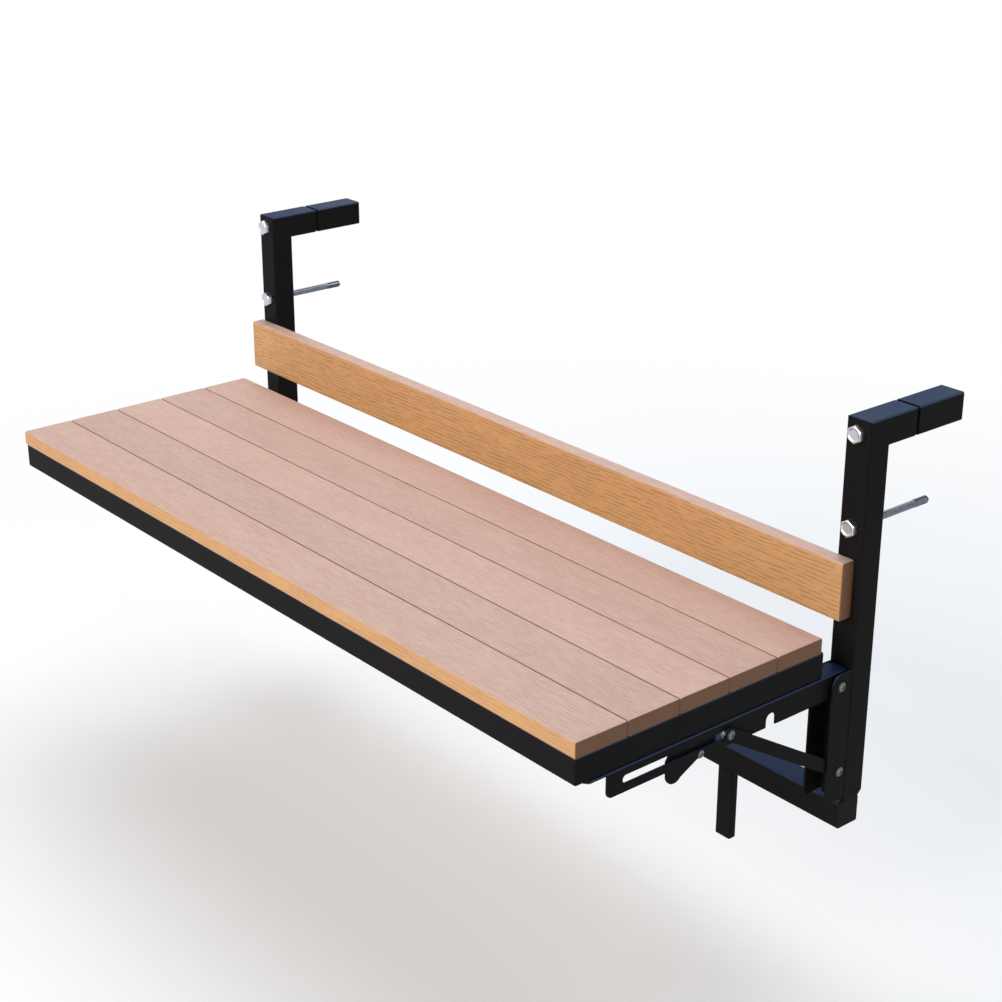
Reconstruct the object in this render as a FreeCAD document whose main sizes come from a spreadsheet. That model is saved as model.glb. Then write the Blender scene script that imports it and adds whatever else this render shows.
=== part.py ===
import FreeCAD, Part
import math
import os

import Sketcher

# Balcony railing bar table: two hooked uprights that hang over a railing carry a slatted top that
# folds down on a pair of pivots and is held up by two slotted struts.
#
# Frame: X runs along the table, +Y points from the user to the railing, +Z is up, in millimetres.
# The origin lies midway between the two clamp bolts, on the plane of the uprights' rear faces.

SIZES = {
    # slatted top
    "top_length": 1200.0,
    "top_drop": 122.0,
    "slat_width": 73.6,
    "slat_gap": 3.0,
    "slat_thick": 19.5,
    "slat_round": 1.6,
    # tube frame under the slats
    "rail_height": 34.0,
    "rail_width": 20.0,
    "rail_wall": 1.5,
    "rail_round": 3.0,
    "rail_side_inset": 1.0,
    "rail_front_inset": 1.5,
    "rail_rear_past": 5.5,
    "rear_to_pivot": 24.0,
    # flat bars that carry the slats
    "strap_width": 30.0,
    "strap_thick": 3.0,
    "strap_inset": 40.0,
    "screw_bite": 12.0,
    "screw_flats": 4.0,
    "screw_head_flats": 8.0,
    "screw_head_height": 3.0,
    # square tubes of the hanger
    "tube": 35.0,
    "tube_wall": 1.8,
    "tube_round": 2.5,
    "upright_past": 8.0,
    "foot_below_channel": 7.5,
    "foot_chamfer": 8.0,
    "hook_height": 96.0,
    "arm_reach": 45.0,
    "arm_gap": 5.0,
    "sleeve_length": 77.0,
    "cap_face": 2.0,
    "cap_plug": 10.0,
    "cap_play": 0.2,
    # inner tube that slides in the arm, and the plate its bolt screws into
    "spigot_play": 0.3,
    "spigot_wall": 2.0,
    "spigot_ahead": 20.0,
    "spigot_end_play": 7.0,
    "nut_plate_thick": 6.0,
    # flange bolts
    "bolt_radius": 5.0,
    "bolt_play": 0.05,
    "bolt_head_flats": 17.0,
    "bolt_head_height": 6.5,
    "bolt_flange_radius": 10.5,
    "bolt_flange_thick": 2.0,
    "upper_bolt_length": 80.0,
    "clamp_shank_radius": 4.7,
    "clamp_bolt_reach": 98.0,
    # cross tube at the foot and the two stubs under it
    "crossbar_ahead": 6.0,
    "stub_inset": 186.0,
    "stub_width": 25.0,
    "stub_depth": 12.0,
    "stub_wall": 1.5,
    "stub_length": 95.5,
    # board across the front of the uprights
    "board_lift": 10.4,
    "board_left_past": 5.0,
    "board_right_short": 9.0,
    "board_screw_spread": 40.0,
    "access_half": 6.0,
    # folded channel on each upright that carries the pivots
    "sheet": 2.5,
    "channel_reach": 32.5,
    "channel_above_pivot": 16.0,
    "channel_below_pivot": 154.0,
    "channel_web_below_pivot": 23.0,
    "channel_round": 15.0,
    "channel_foot_round": 4.0,
    "pivot_ahead": 17.5,
    "pin_radius": 3.5,
    "pin_play": 0.05,
    "pin_head_radius": 6.3,
    "pin_head_height": 2.3,
    # slotted side bracket under each end of the frame
    "bracket_outset": 0.5,
    "bracket_round": 15.5,
    "bracket_past_slot": 23.16,
    "bracket_front_round": 8.0,
    "bracket_flange_width": 24.5,
    "bracket_flange_inset": 14.5,
    "bracket_heel": 16.0,
    "bracket_snip": 5.0,
    "bracket_screw_inset": 3.0,
    "bracket_screw_end": 60.0,
    "bracket_screw_bite": 8.0,
    "bend_round": 2.0,
    "slot_height": 10.0,
    "slot_spare": 1.0,
    "notch_at": 111.25,
    "notch_width": 15.5,
    "notch_rise": 1.0,
    # strut and the bush that slides in the slot
    "strut_pivot_drop": 115.0,
    "strut_pivot_back": 6.5,
    "strut_width": 16.0,
    "strut_gap": 2.2,
    "slider_start": 181.5,
    "slider_travel": 153.34,
    "slider_radius": 4.7,
    "slider_play": 0.3,
    "slider_nut_flats": 12.0,
    "slider_nut_thick": 1.2,
    "rivet_radius": 2.45,
    "rivet_flats": 4.2,
    "rivet_play": 0.05,
    "rivet_head_radius": 6.0,
    # latch lever on the inner face of each bracket
    "lever_pivot_at": 223.5,
    "lever_pivot_drop": 11.0,
    "lever_gap": 1.9,
    "lever_lobe_back": 36.0,
    "lever_lobe_drop": 12.0,
    "lever_lobe_radius": 12.5,
    "lever_top": 13.0,
    "lever_tail_rise": 6.0,
    "lever_tail_run": 22.0,
    "lever_nose": 9.0,
    "lever_catch_reach": 28.0,
    "lever_catch_height": 10.0,
    "lever_boss_radius": 8.0,
    "lever_rivet_head_radius": 5.0,
    "lever_rivet_head_height": 1.8,
    "lever_side_play": 0.2,
    "weld_leg": 5.0,
}

SLAT_COUNT = 5
SIDES = (("left", -1), ("right", 1))
# how far the outline of a cut runs past the piece that it cuts
PAST = 1.0
# the straight sliver left beside a full round
SLIVER = 0.5

document = FreeCAD.newDocument("bar_table")
sheet = document.addObject("Spreadsheet::Sheet", "Sizes")
for row, (alias, number) in enumerate(SIZES.items(), start=1):
    sheet.set("A%d" % row, alias)
    sheet.set("B%d" % row, str(number))
    sheet.setAlias("B%d" % row, alias)
document.recompute()


class Size:
    """A length that keeps its number and the sheet formula it comes from."""

    def __init__(self, value, text):
        self.value = float(value)
        self.text = text

    def joined(self, other, sign, value, swapped=False):
        first, second = self.text, formula(other)
        if swapped:
            first, second = second, first
        return Size(value, "(%s %s %s)" % (first, sign, second))

    def __add__(self, other):
        return self.joined(other, "+", self.value + number_of(other))

    def __radd__(self, other):
        return self.joined(other, "+", number_of(other) + self.value, True)

    def __sub__(self, other):
        return self.joined(other, "-", self.value - number_of(other))

    def __rsub__(self, other):
        return self.joined(other, "-", number_of(other) - self.value, True)

    def __mul__(self, other):
        return self.joined(other, "*", self.value * number_of(other))

    def __rmul__(self, other):
        return self.joined(other, "*", number_of(other) * self.value, True)

    def __truediv__(self, other):
        return self.joined(other, "/", self.value / number_of(other))

    def __neg__(self):
        return Size(-self.value, "(0 - %s)" % self.text)


def number_of(item):
    return item.value if isinstance(item, Size) else float(item)


def formula(item):
    return item.text if isinstance(item, Size) else "%.6g" % item


def size(alias):
    return Size(sheet.get(alias), "Sizes." + alias)


def bind(thing, prop, item):
    thing.setExpression(prop, formula(item))


# Drawing helpers.

PLANES = {"X": "YZ_Plane", "Y": "XZ_Plane", "Z": "XY_Plane"}
parts = []


def new_body(label, at):
    body = document.addObject("PartDesign::Body", label)
    body.Label = label
    for letter, item in zip("xyz", at):
        bind(body, "Placement.Base." + letter, item)
    parts.append(body)
    return body


def new_sketch(body, axis, start):
    plane = [p for p in body.Origin.OriginFeatures if p.Role == PLANES[axis]][0]
    sketch = body.newObject("Sketcher::SketchObject", "Sketch")
    sketch.AttachmentSupport = (plane, [""])
    sketch.MapMode = "FlatFace"
    # the XZ plane's own normal points along -Y
    bind(sketch, "AttachmentOffset.Base.z", -start if axis == "Y" else start)
    return sketch


def fix(sketch, constraint, item):
    index = sketch.addConstraint(constraint)
    if isinstance(item, Size):
        sketch.setExpression("Constraints[%d]" % index, item.text)


def fix_point(sketch, piece, end, across, up):
    fix(sketch, Sketcher.Constraint("DistanceX", piece, end, number_of(across)), across)
    fix(sketch, Sketcher.Constraint("DistanceY", piece, end, number_of(up)), up)


def polygon(*corners):
    def draw(sketch):
        points = [FreeCAD.Vector(number_of(a), number_of(b), 0) for a, b in corners]
        lines = [
            sketch.addGeometry(Part.LineSegment(points[i], points[(i + 1) % len(points)]))
            for i in range(len(points))
        ]
        for i, line in enumerate(lines):
            sketch.addConstraint(Sketcher.Constraint("Coincident", line, 2, lines[(i + 1) % len(lines)], 1))
        for line, (across, up) in zip(lines, corners):
            fix_point(sketch, line, 1, across, up)

    return draw


def rectangle(across0, up0, across1, up1):
    return polygon((across0, up0), (across1, up0), (across1, up1), (across0, up1))


def hexagon(flats):
    half = flats / 2
    point = half * (2 / math.sqrt(3))
    right = [(point / 2, -half), (point, 0), (point / 2, half)]
    return polygon(*right, *[(-across, -up) for across, up in right])


def circles(radius, *centres):
    def draw(sketch):
        for across, up in centres:
            middle = FreeCAD.Vector(number_of(across), number_of(up), 0)
            ring = sketch.addGeometry(Part.Circle(middle, FreeCAD.Vector(0, 0, 1), number_of(radius)))
            fix_point(sketch, ring, 3, across, up)
            fix(sketch, Sketcher.Constraint("Radius", ring, number_of(radius)), radius)

    return draw


def obround(radius, first, second):
    def draw(sketch):
        ends = [FreeCAD.Vector(number_of(a), number_of(b), 0) for a, b in (first, second)]
        course = math.atan2(ends[1].y - ends[0].y, ends[1].x - ends[0].x)
        quarter = math.pi / 2
        r = number_of(radius)
        arcs = []
        for middle, begin in ((ends[0], course + quarter), (ends[1], course - quarter)):
            ring = Part.Circle(middle, FreeCAD.Vector(0, 0, 1), r)
            arcs.append(sketch.addGeometry(Part.ArcOfCircle(ring, begin, begin + math.pi)))
        side = FreeCAD.Vector(math.cos(course + quarter) * r, math.sin(course + quarter) * r, 0)
        near = sketch.addGeometry(Part.LineSegment(ends[1] + side, ends[0] + side))
        far = sketch.addGeometry(Part.LineSegment(ends[0] - side, ends[1] - side))
        for arc, end, line, line_end in ((0, 1, near, 2), (1, 2, near, 1), (0, 2, far, 1), (1, 1, far, 2)):
            sketch.addConstraint(Sketcher.Constraint("Tangent", arcs[arc], end, line, line_end))
        sketch.addConstraint(Sketcher.Constraint("Equal", arcs[0], arcs[1]))
        fix_point(sketch, arcs[0], 3, *first)
        fix_point(sketch, arcs[1], 3, *second)
        fix(sketch, Sketcher.Constraint("Radius", arcs[0], r), radius)

    return draw


def pad(body, axis, start, length, draw):
    sketch = new_sketch(body, axis, start)
    draw(sketch)
    feature = body.newObject("PartDesign::Pad", "Pad")
    feature.Profile = sketch
    feature.Reversed = axis == "Y"
    bind(feature, "Length", length)
    sketch.Visibility = False
    return feature


def cut(body, axis, start, length, draw):
    document.recompute()
    before = body.Shape.Volume
    sketch = new_sketch(body, axis, start)
    draw(sketch)
    feature = body.newObject("PartDesign::Pocket", "Pocket")
    feature.Profile = sketch
    feature.Reversed = axis != "Y"
    bind(feature, "Length", length)
    sketch.Visibility = False
    document.recompute()
    if body.Shape.Volume > before - 0.5:
        raise ValueError("a cut in %s removed nothing" % body.Label)
    return feature


def turn(body, corners):
    """Revolve a profile drawn in the XY plane about the body's own Y axis."""
    sketch = new_sketch(body, "Z", 0)
    polygon(*corners)(sketch)
    feature = body.newObject("PartDesign::Revolution", "Revolution")
    feature.Profile = sketch
    feature.ReferenceAxis = (sketch, ["V_Axis"])
    feature.Angle = 360.0
    sketch.Visibility = False
    return feature


def along(edge, axis):
    """True for a straight edge that runs along the named axis."""
    if not isinstance(edge.Curve, Part.Line) and not isinstance(edge.Curve, Part.LineSegment):
        return False
    way = edge.Vertexes[-1].Point - edge.Vertexes[0].Point
    index = "XYZ".index(axis)
    return abs(way[index]) > 0.999 * way.Length


def corner_edges(axis, *spots):
    """Pick the edges along an axis that pass through the given places across it."""
    others = [i for i in range(3) if "XYZ"[i] != axis]

    def pick(edge):
        if not along(edge, axis):
            return False
        point = edge.Vertexes[0].Point
        return any(
            abs(point[others[0]] - number_of(a)) < 0.02 and abs(point[others[1]] - number_of(b)) < 0.02
            for a, b in spots
        )

    return pick


def round_edges(body, radius, pick):
    document.recompute()
    base = body.Tip
    names = ["Edge%d" % (i + 1) for i, edge in enumerate(base.Shape.Edges) if pick(edge)]
    if not names:
        raise ValueError("no edge to round in " + body.Label)
    feature = body.newObject("PartDesign::Fillet", "Fillet")
    feature.Base = (base, names)
    bind(feature, "Radius", radius)
    return feature


def square_tube(label, at, axis, start, length, half_across, half_up, wall, corner, rounded=(-1, 1)):
    """A hollow tube about its own axis, open at both ends, with the long edges on the named sides rounded."""
    body = new_body(label, at)
    pad(body, axis, start, length, rectangle(-half_across, -half_up, half_across, half_up))
    corners = [(sx * half_across, sy * half_up) for sx in rounded for sy in (-1, 1)]
    if corners:
        round_edges(body, corner, corner_edges(axis, *corners))
    inner_across, inner_up = half_across - wall, half_up - wall
    cut(body, axis, start, length, rectangle(-inner_across, -inner_up, inner_across, inner_up))
    return body


def group(label, solids):
    """A node that holds several separate small solids of one kind."""
    feature = document.addObject("Part::Feature", label)
    feature.Label = label
    feature.Shape = Part.makeCompound(solids)
    parts.append(feature)
    return feature


def lathe(points, at, way):
    """Revolve a half profile of (radius, distance) points about a line through a place."""
    corners = [FreeCAD.Vector(r, 0, d) for r, d in points + points[:1]]
    wire = Part.makePolygon(corners)
    solid = Part.Face(wire).revolve(FreeCAD.Vector(0, 0, 0), FreeCAD.Vector(0, 0, 1), 360)
    turned = FreeCAD.Rotation(FreeCAD.Vector(0, 0, 1), FreeCAD.Vector(*way))
    solid.Placement = FreeCAD.Placement(FreeCAD.Vector(*at), turned)
    return solid


def button(radius, height):
    """Half profile of a low rivet head that sits on distance 0 and rises to its height."""
    crown = radius * 0.65
    return [(radius, 0), (crown, height), (0, height)]


def hex_bar(flats, start, end, at, way):
    """A six-sided bar along a way through a place, between two distances."""
    point = flats / math.sqrt(3)
    ring = [
        FreeCAD.Vector(point * math.cos(math.radians(60 * i)), point * math.sin(math.radians(60 * i)), start)
        for i in range(7)
    ]
    solid = Part.Face(Part.makePolygon(ring)).extrude(FreeCAD.Vector(0, 0, end - start))
    turned = FreeCAD.Rotation(FreeCAD.Vector(0, 0, 1), FreeCAD.Vector(*way))
    solid.Placement = FreeCAD.Placement(FreeCAD.Vector(*at), turned)
    return solid


def screw(grip, at, way):
    """A hex head screw that bears on a place; its shank, hidden all along, is drawn as a plain bar."""
    head = hex_bar(SIZES["screw_head_flats"], -SIZES["screw_head_height"], 0, at, way)
    return head.fuse(hex_bar(SIZES["screw_flats"], 0, grip, at, way))


# Places shared by several pieces.

tube = size("tube")
half_tube = tube / 2
tube_wall = size("tube_wall")
sheet_thick = size("sheet")
half_top = size("top_length") / 2
end_x = half_top + size("upright_past")
upright_x = end_x - half_tube

pivot_y = -(tube + size("pivot_ahead"))
rail_rear_y = pivot_y - size("rear_to_pivot")
slat_rear_y = rail_rear_y - size("rail_rear_past")
slat_pitch = size("slat_width") + size("slat_gap")
slat_front_y = slat_rear_y - size("slat_width") - slat_pitch * (SLAT_COUNT - 1)
rail_front_y = slat_front_y + size("rail_front_inset")

slat_bottom_z = -(size("top_drop") + size("slat_thick"))
rail_bottom_z = slat_bottom_z - size("rail_height")
pivot_z = rail_bottom_z - size("bracket_round")

strut_drop = size("strut_pivot_drop")
strut_back = size("strut_pivot_back")
slider_reach = size("slider_start")
slot_reach = slider_reach + size("slider_travel") + size("slot_spare")
bracket_reach = slot_reach + size("slot_height") / 2 + size("bracket_past_slot")

# the bracket's web stands at the end of the frame, the strut outside it, the lever inside it
web_outer_x = half_top + size("bracket_outset")
web_inner_x = web_outer_x - sheet_thick
strut_inner_x = web_outer_x + size("strut_gap")
lever_outer_x = web_inner_x - size("lever_gap")

hook_middle_z = size("hook_height") + half_tube
foot_z = pivot_z - size("channel_below_pivot") - size("foot_below_channel")
crossbar_front_y = -(tube + size("crossbar_ahead"))
board_bottom_z = size("board_lift") - size("top_drop")
board_middle_z = board_bottom_z + size("slat_width") / 2
board_screw_heights = [
    board_middle_z - size("board_screw_spread") / 2,
    board_middle_z + size("board_screw_spread") / 2,
]
rivet_hole = size("rivet_radius") + size("rivet_play")
pin_hole = size("pin_radius") + size("pin_play")
bolt_hole = size("bolt_radius") + size("bolt_play")

# four straps spread evenly between the outer two
strap_outer_x = half_top - size("strap_inset")
strap_places = [-strap_outer_x, -strap_outer_x / 3, strap_outer_x / 3, strap_outer_x]
bracket_screw_front = pivot_y - bracket_reach + size("bracket_screw_end")
bracket_screw_rear = pivot_y - size("bracket_screw_end")
bracket_screw_places = [
    bracket_screw_front,
    (bracket_screw_front + bracket_screw_rear) / 2,
    bracket_screw_rear,
]


def span(sign, inner, outer):
    """Start and length of a stretch of X given from the middle outwards, on either side."""
    return (inner if sign > 0 else -outer), outer - inner


# The slatted top.


def make_slats():
    for index in range(SLAT_COUNT):
        label = "slat_%d" % (index + 1)
        body = new_body(label, (0, slat_front_y + slat_pitch * index, slat_bottom_z))
        outline = rectangle(0, 0, size("slat_width"), size("slat_thick"))
        pad(body, "X", -half_top, size("top_length"), outline)
        top_edges = corner_edges("X", (0, size("slat_thick")), (size("slat_width"), size("slat_thick")))
        round_edges(body, size("slat_round"), top_edges)


def make_rails():
    width, height = size("rail_width"), size("rail_height")
    half_x = half_top - size("rail_side_inset")
    depth = rail_rear_y - rail_front_y
    middle_z = rail_bottom_z + height / 2
    past = PAST
    section = (width / 2, height / 2, size("rail_wall"), size("rail_round"))
    for label, y, inward in (("front_rail", rail_front_y, 1), ("rear_rail", rail_rear_y, -1)):
        middle = (0, y + width / 2 * inward, middle_z)
        body = square_tube(label, middle, "X", -half_x, half_x * 2, *section, rounded=(-inward,))
        for sign in (-1, 1):
            outer = ((half_x + past) * sign, (width / 2 + past) * -inward)
            inner = ((half_x - width - past) * sign, (width / 2 + past) * inward)
            beyond = ((half_x + past) * sign, (width / 2 + past) * inward)
            cut(body, "Z", -height, height * 2, polygon(outer, inner, beyond))
    for side, sign in SIDES:
        middle = ((half_x - width / 2) * sign, rail_front_y, middle_z)
        body = square_tube("rail_" + side, middle, "Y", 0, depth, *section, rounded=(sign,))
        for end, way in ((0, 1), (depth, -1)):
            outer = ((width / 2 + past) * sign, end - way * past)
            inner = ((width / 2 + past) * -sign, end + (width + past) * way)
            beyond = ((width / 2 + past) * -sign, end - way * past)
            cut(body, "Z", -height, height * 2, polygon(outer, inner, beyond))


def make_straps():
    width = size("strap_width")
    front = rail_front_y + size("rail_width")
    length = rail_rear_y - size("rail_width") - front
    for index, place in enumerate(strap_places):
        label = "support_strap_%d" % (index + 1)
        body = new_body(label, (place, front, slat_bottom_z - size("strap_thick")))
        pad(body, "Z", 0, size("strap_thick"), rectangle(-width / 2, 0, width / 2, length))


def make_screws():
    thick = SIZES["strap_thick"]
    slat_middle = (slat_front_y + size("slat_width") / 2).value
    z = slat_bottom_z.value - thick
    grip = thick + SIZES["screw_bite"]
    solids = [
        screw(grip, (place.value, slat_middle + slat_pitch.value * slat, z), (0, 0, 1))
        for place in strap_places
        for slat in range(SLAT_COUNT)
    ]
    group("slat_screws", solids)

    x = (half_top - size("rail_side_inset") - size("rail_width") / 2 - size("bracket_screw_inset")).value
    z = rail_bottom_z.value - SIZES["sheet"]
    solids = [
        screw(SIZES["sheet"] + SIZES["bracket_screw_bite"], (x * sign, place.value, z), (0, 0, 1))
        for side, sign in SIDES
        for place in bracket_screw_places
    ]
    group("bracket_screws", solids)

    y = SIZES["tube_wall"] - SIZES["tube"]
    grip = SIZES["tube_wall"] + SIZES["screw_bite"]
    solids = [
        screw(grip, (upright_x.value * sign, y, height.value), (0, -1, 0))
        for side, sign in SIDES
        for height in board_screw_heights
    ]
    group("backboard_screws", solids)


# Side brackets, struts and latches.


def make_side_bracket(side, sign):
    body = new_body("side_bracket_" + side, (0, pivot_y, pivot_z))
    reach, drop = bracket_reach, size("bracket_round")
    front = rail_front_y + size("bracket_flange_inset") - pivot_y
    heel = size("bracket_heel")
    inner_x = web_outer_x - size("bracket_flange_width")
    pad(body, "X", *span(sign, web_inner_x, web_outer_x), rectangle(-reach, -drop, drop, drop))
    round_edges(body, size("bracket_front_round"), corner_edges("X", (-reach, -drop)))
    round_edges(body, drop - SLIVER, corner_edges("X", (drop, -drop)))
    snip = size("bracket_snip")
    flange = polygon(
        ((inner_x + snip) * sign, front),
        ((web_outer_x - snip) * sign, front),
        (web_outer_x * sign, front + snip),
        (web_outer_x * sign, heel),
        ((inner_x + snip) * sign, heel),
        (inner_x * sign, heel - snip),
        (inner_x * sign, front + snip),
    )
    pad(body, "Z", drop - sheet_thick, sheet_thick, flange)
    round_edges(body, size("bend_round"), corner_edges("Y", (web_outer_x * sign, drop)))

    through = span(sign, web_inner_x, web_outer_x)
    slot_radius = size("slot_height") / 2
    cut(body, "X", *through, obround(slot_radius, (-slot_reach, 0), (-slider_reach, 0)))
    notch_radius = size("notch_width") / 2
    notch_top = size("notch_rise") - notch_radius
    notch_at = -size("notch_at")
    cut(body, "X", *through, obround(notch_radius, (notch_at, notch_top - drop * 2), (notch_at, notch_top)))
    cut(body, "X", *through, circles(pin_hole, (0, 0)))
    lever_spot = (-size("lever_pivot_at"), -size("lever_pivot_drop"))
    cut(body, "X", *through, circles(rivet_hole, lever_spot))


def make_strut(side, sign):
    body = new_body("strut_" + side, (0, pivot_y + strut_back, pivot_z - strut_drop))
    far = (-(slider_reach + strut_back), strut_drop)
    flat = span(sign, strut_inner_x, strut_inner_x + sheet_thick)
    pad(body, "X", *flat, obround(size("strut_width") / 2, (0, 0), far))
    cut(body, "X", *flat, circles(pin_hole, (0, 0)))

    # the pin is riveted tight in the strut, so its hidden shank is drawn as a plain bar
    head = [(0, 0)] + button(SIZES["rivet_head_radius"], SIZES["pin_head_height"])
    x = (strut_inner_x + sheet_thick).value * sign
    place, way = (x, (pivot_y - slider_reach).value, pivot_z.value), (sign, 0, 0)
    shank = hex_bar(SIZES["rivet_flats"], -SIZES["sheet"], 0, place, way)
    group("strut_pin_" + side, [lathe(head, place, way).fuse(shank)])


def make_slider(side, sign):
    body = new_body("slot_slider_" + side, (0, pivot_y - slider_reach, pivot_z))
    inner = web_inner_x - size("slider_play")
    outer = strut_inner_x - size("slider_play")
    pad(body, "X", *span(sign, inner, outer), circles(size("slider_radius"), (0, 0)))
    nut = span(sign, inner - size("slider_nut_thick"), inner)
    pad(body, "X", *nut, hexagon(size("slider_nut_flats")))


def make_lever(side, sign):
    place = (0, pivot_y - size("lever_pivot_at"), pivot_z - size("lever_pivot_drop"))
    body = new_body("latch_lever_" + side, place)
    back, drop = size("lever_lobe_back"), size("lever_lobe_drop")
    lobe, top = size("lever_lobe_radius"), size("lever_top")
    reach, deep = size("lever_catch_reach"), size("lever_catch_height")
    boss = size("lever_boss_radius")
    flat = span(sign, lever_outer_x - sheet_thick, lever_outer_x)
    tail, run = size("lever_tail_rise"), size("lever_tail_run")
    outline = polygon(
        (-(back + lobe), -drop),
        (-(back + lobe), top - tail),
        (-(back + lobe / 2), top + tail / 2),
        (-back, top + tail),
        (-(back - run), top),
        (reach, top),
        (reach, top - deep),
        (reach - size("lever_nose"), 0),
        (0, -boss),
        (-back, -(drop + lobe)),
    )
    pad(body, "X", *flat, outline)
    pad(body, "X", *flat, circles(lobe, (-back, -drop)))
    pad(body, "X", *flat, circles(boss, (0, 0)))
    cut(body, "X", *flat, circles(rivet_hole, (0, 0)))


def make_latch_rivets():
    radius = SIZES["rivet_radius"]
    tail = -(SIZES["sheet"] * 2 + SIZES["lever_gap"] + SIZES["lever_side_play"])
    head = button(SIZES["lever_rivet_head_radius"], SIZES["lever_rivet_head_height"])
    y = (pivot_y - size("lever_pivot_at")).value
    z = (pivot_z - size("lever_pivot_drop")).value
    solids = []
    for side, sign in SIDES:
        place, way = (web_outer_x.value * sign, y, z), (sign, 0, 0)
        rivet = lathe([(0, tail), (radius, tail), (radius, 0)] + head, place, way)
        nut = hex_bar(SIZES["screw_head_flats"], tail - SIZES["screw_head_height"], tail, place, way)
        solids.append(rivet.fuse(nut))
    group("latch_rivets", solids)


# The hanger: uprights, hooked arms, cross tube and hinge channels.


def make_upright(side, sign):
    place = (upright_x * sign, -half_tube, foot_z)
    top = size("hook_height") + tube - foot_z
    body = new_body("upright_" + side, place)
    half = half_tube
    pad(body, "Z", 0, top, rectangle(-half, -half, half, half))
    corners = [(half * sx, half * sy) for sx in (-1, 1) for sy in (-1, 1)]
    round_edges(body, size("tube_round"), corner_edges("Z", *corners))
    inner = half - tube_wall
    cut(body, "Z", tube_wall, top, rectangle(-inner, -inner, inner, inner))
    # a wedge closes the foot behind its chamfered rear corner
    chamfer = size("foot_chamfer")
    wedge = chamfer + tube_wall * 1.5
    wedge_y = half - tube_wall / 2
    pad(body, "X", -inner, inner * 2, polygon((wedge_y, 0), (wedge_y, wedge), (half - wedge, 0)))
    corner = polygon((half + PAST, chamfer + PAST), (half - chamfer - PAST, -PAST), (half + PAST, -PAST))
    cut(body, "X", -tube, tube * 2, corner)
    mitre = polygon((-(half + PAST), top + PAST), (half + PAST, top - tube - PAST), (half + PAST, top + PAST))
    cut(body, "X", -tube, tube * 2, mitre)
    upper_bolt = (0, hook_middle_z - foot_z)
    clamp_bolt = (0, -foot_z)
    cut(body, "Y", -half, tube_wall, circles(bolt_hole, upper_bolt))
    cut(body, "Y", -half, tube, circles(bolt_hole, clamp_bolt))
    around = size("access_half")
    low, high = [height - foot_z for height in board_screw_heights]
    cut(body, "Y", inner, tube_wall, rectangle(-around, low - around, around, high + around))


def make_arm(side, sign):
    x = upright_x * sign
    wall, corner = tube_wall, size("tube_round")
    reach = size("arm_reach")
    place = (x, 0, hook_middle_z)
    body = square_tube("arm_tube_" + side, place, "Y", -tube, reach + tube, half_tube, half_tube, wall, corner)
    far, deep = tube + PAST, half_tube + PAST
    mitre = polygon((-far, deep), (PAST, -deep), (-far, -deep))
    cut(body, "X", -tube, tube * 2, mitre)

    sleeve_y = reach + size("arm_gap")
    place = (x, sleeve_y, hook_middle_z)
    length = size("sleeve_length")
    square_tube("arm_sleeve_" + side, place, "Y", 0, length, half_tube, half_tube, wall, corner)
    place = (x, sleeve_y + length, hook_middle_z)
    make_cap("arm_end_cap_" + side, place, "Y", 1, (half_tube, half_tube), wall, corner)

    half = half_tube - wall - size("spigot_play")
    spigot_y = -size("spigot_ahead")
    spigot_length = sleeve_y + length - size("cap_plug") - size("spigot_end_play") - spigot_y
    place = (x, spigot_y, hook_middle_z)
    inner_wall = size("spigot_wall")
    inside = half - inner_wall
    body = new_body("arm_spigot_" + side, place)
    pad(body, "Y", 0, spigot_length, rectangle(-half, -half, half, half))
    cut(body, "Y", 0, spigot_length, rectangle(-inside, -inside, inside, inside))
    body = new_body("nut_plate_" + side, place)
    pad(body, "Y", 0, size("nut_plate_thick"), rectangle(-inside, -inside, inside, inside))
    cut(body, "Y", 0, size("nut_plate_thick"), circles(bolt_hole, (0, 0)))


def make_cap(label, place, axis, way, halves, wall, corner):
    """A plastic cap: a face plate flush with the tube and a plug inside it."""
    body = new_body(label, place)
    half_across, half_up = halves
    face, plug = size("cap_face"), size("cap_plug")
    start = 0 if way > 0 else -face
    pad(body, axis, start, face, rectangle(-half_across, -half_up, half_across, half_up))
    if corner is not None:
        corners = [(half_across * sx, half_up * sy) for sx in (-1, 1) for sy in (-1, 1)]
        round_edges(body, corner, corner_edges(axis, *corners))
    start = -plug if way > 0 else 0
    across = half_across - wall - size("cap_play")
    up = half_up - wall - size("cap_play")
    pad(body, axis, start, plug, rectangle(-across, -up, across, up))


def make_crossbar():
    middle_y = crossbar_front_y + half_tube
    middle_z = foot_z - half_tube
    half_length = end_x - size("cap_face")
    section = (half_tube, half_tube, tube_wall, size("tube_round"))
    square_tube("crossbar", (0, middle_y, middle_z), "X", -half_length, half_length * 2, *section)
    for side, sign in SIDES:
        place = (half_length * sign, middle_y, middle_z)
        make_cap("crossbar_cap_" + side, place, "X", sign, section[:2], *section[2:])

    half_width, half_depth = size("stub_width") / 2, size("stub_depth") / 2
    section = (half_width, half_depth, size("stub_wall"), None)
    length = size("stub_length")
    for side, sign in SIDES:
        place = ((end_x - size("stub_inset")) * sign, crossbar_front_y + half_depth, foot_z - tube - length)
        square_tube("stub_leg_" + side, place, "Z", 0, length, *section, rounded=())
        make_cap("stub_cap_" + side, place, "Z", -1, section[:2], *section[2:])


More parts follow.
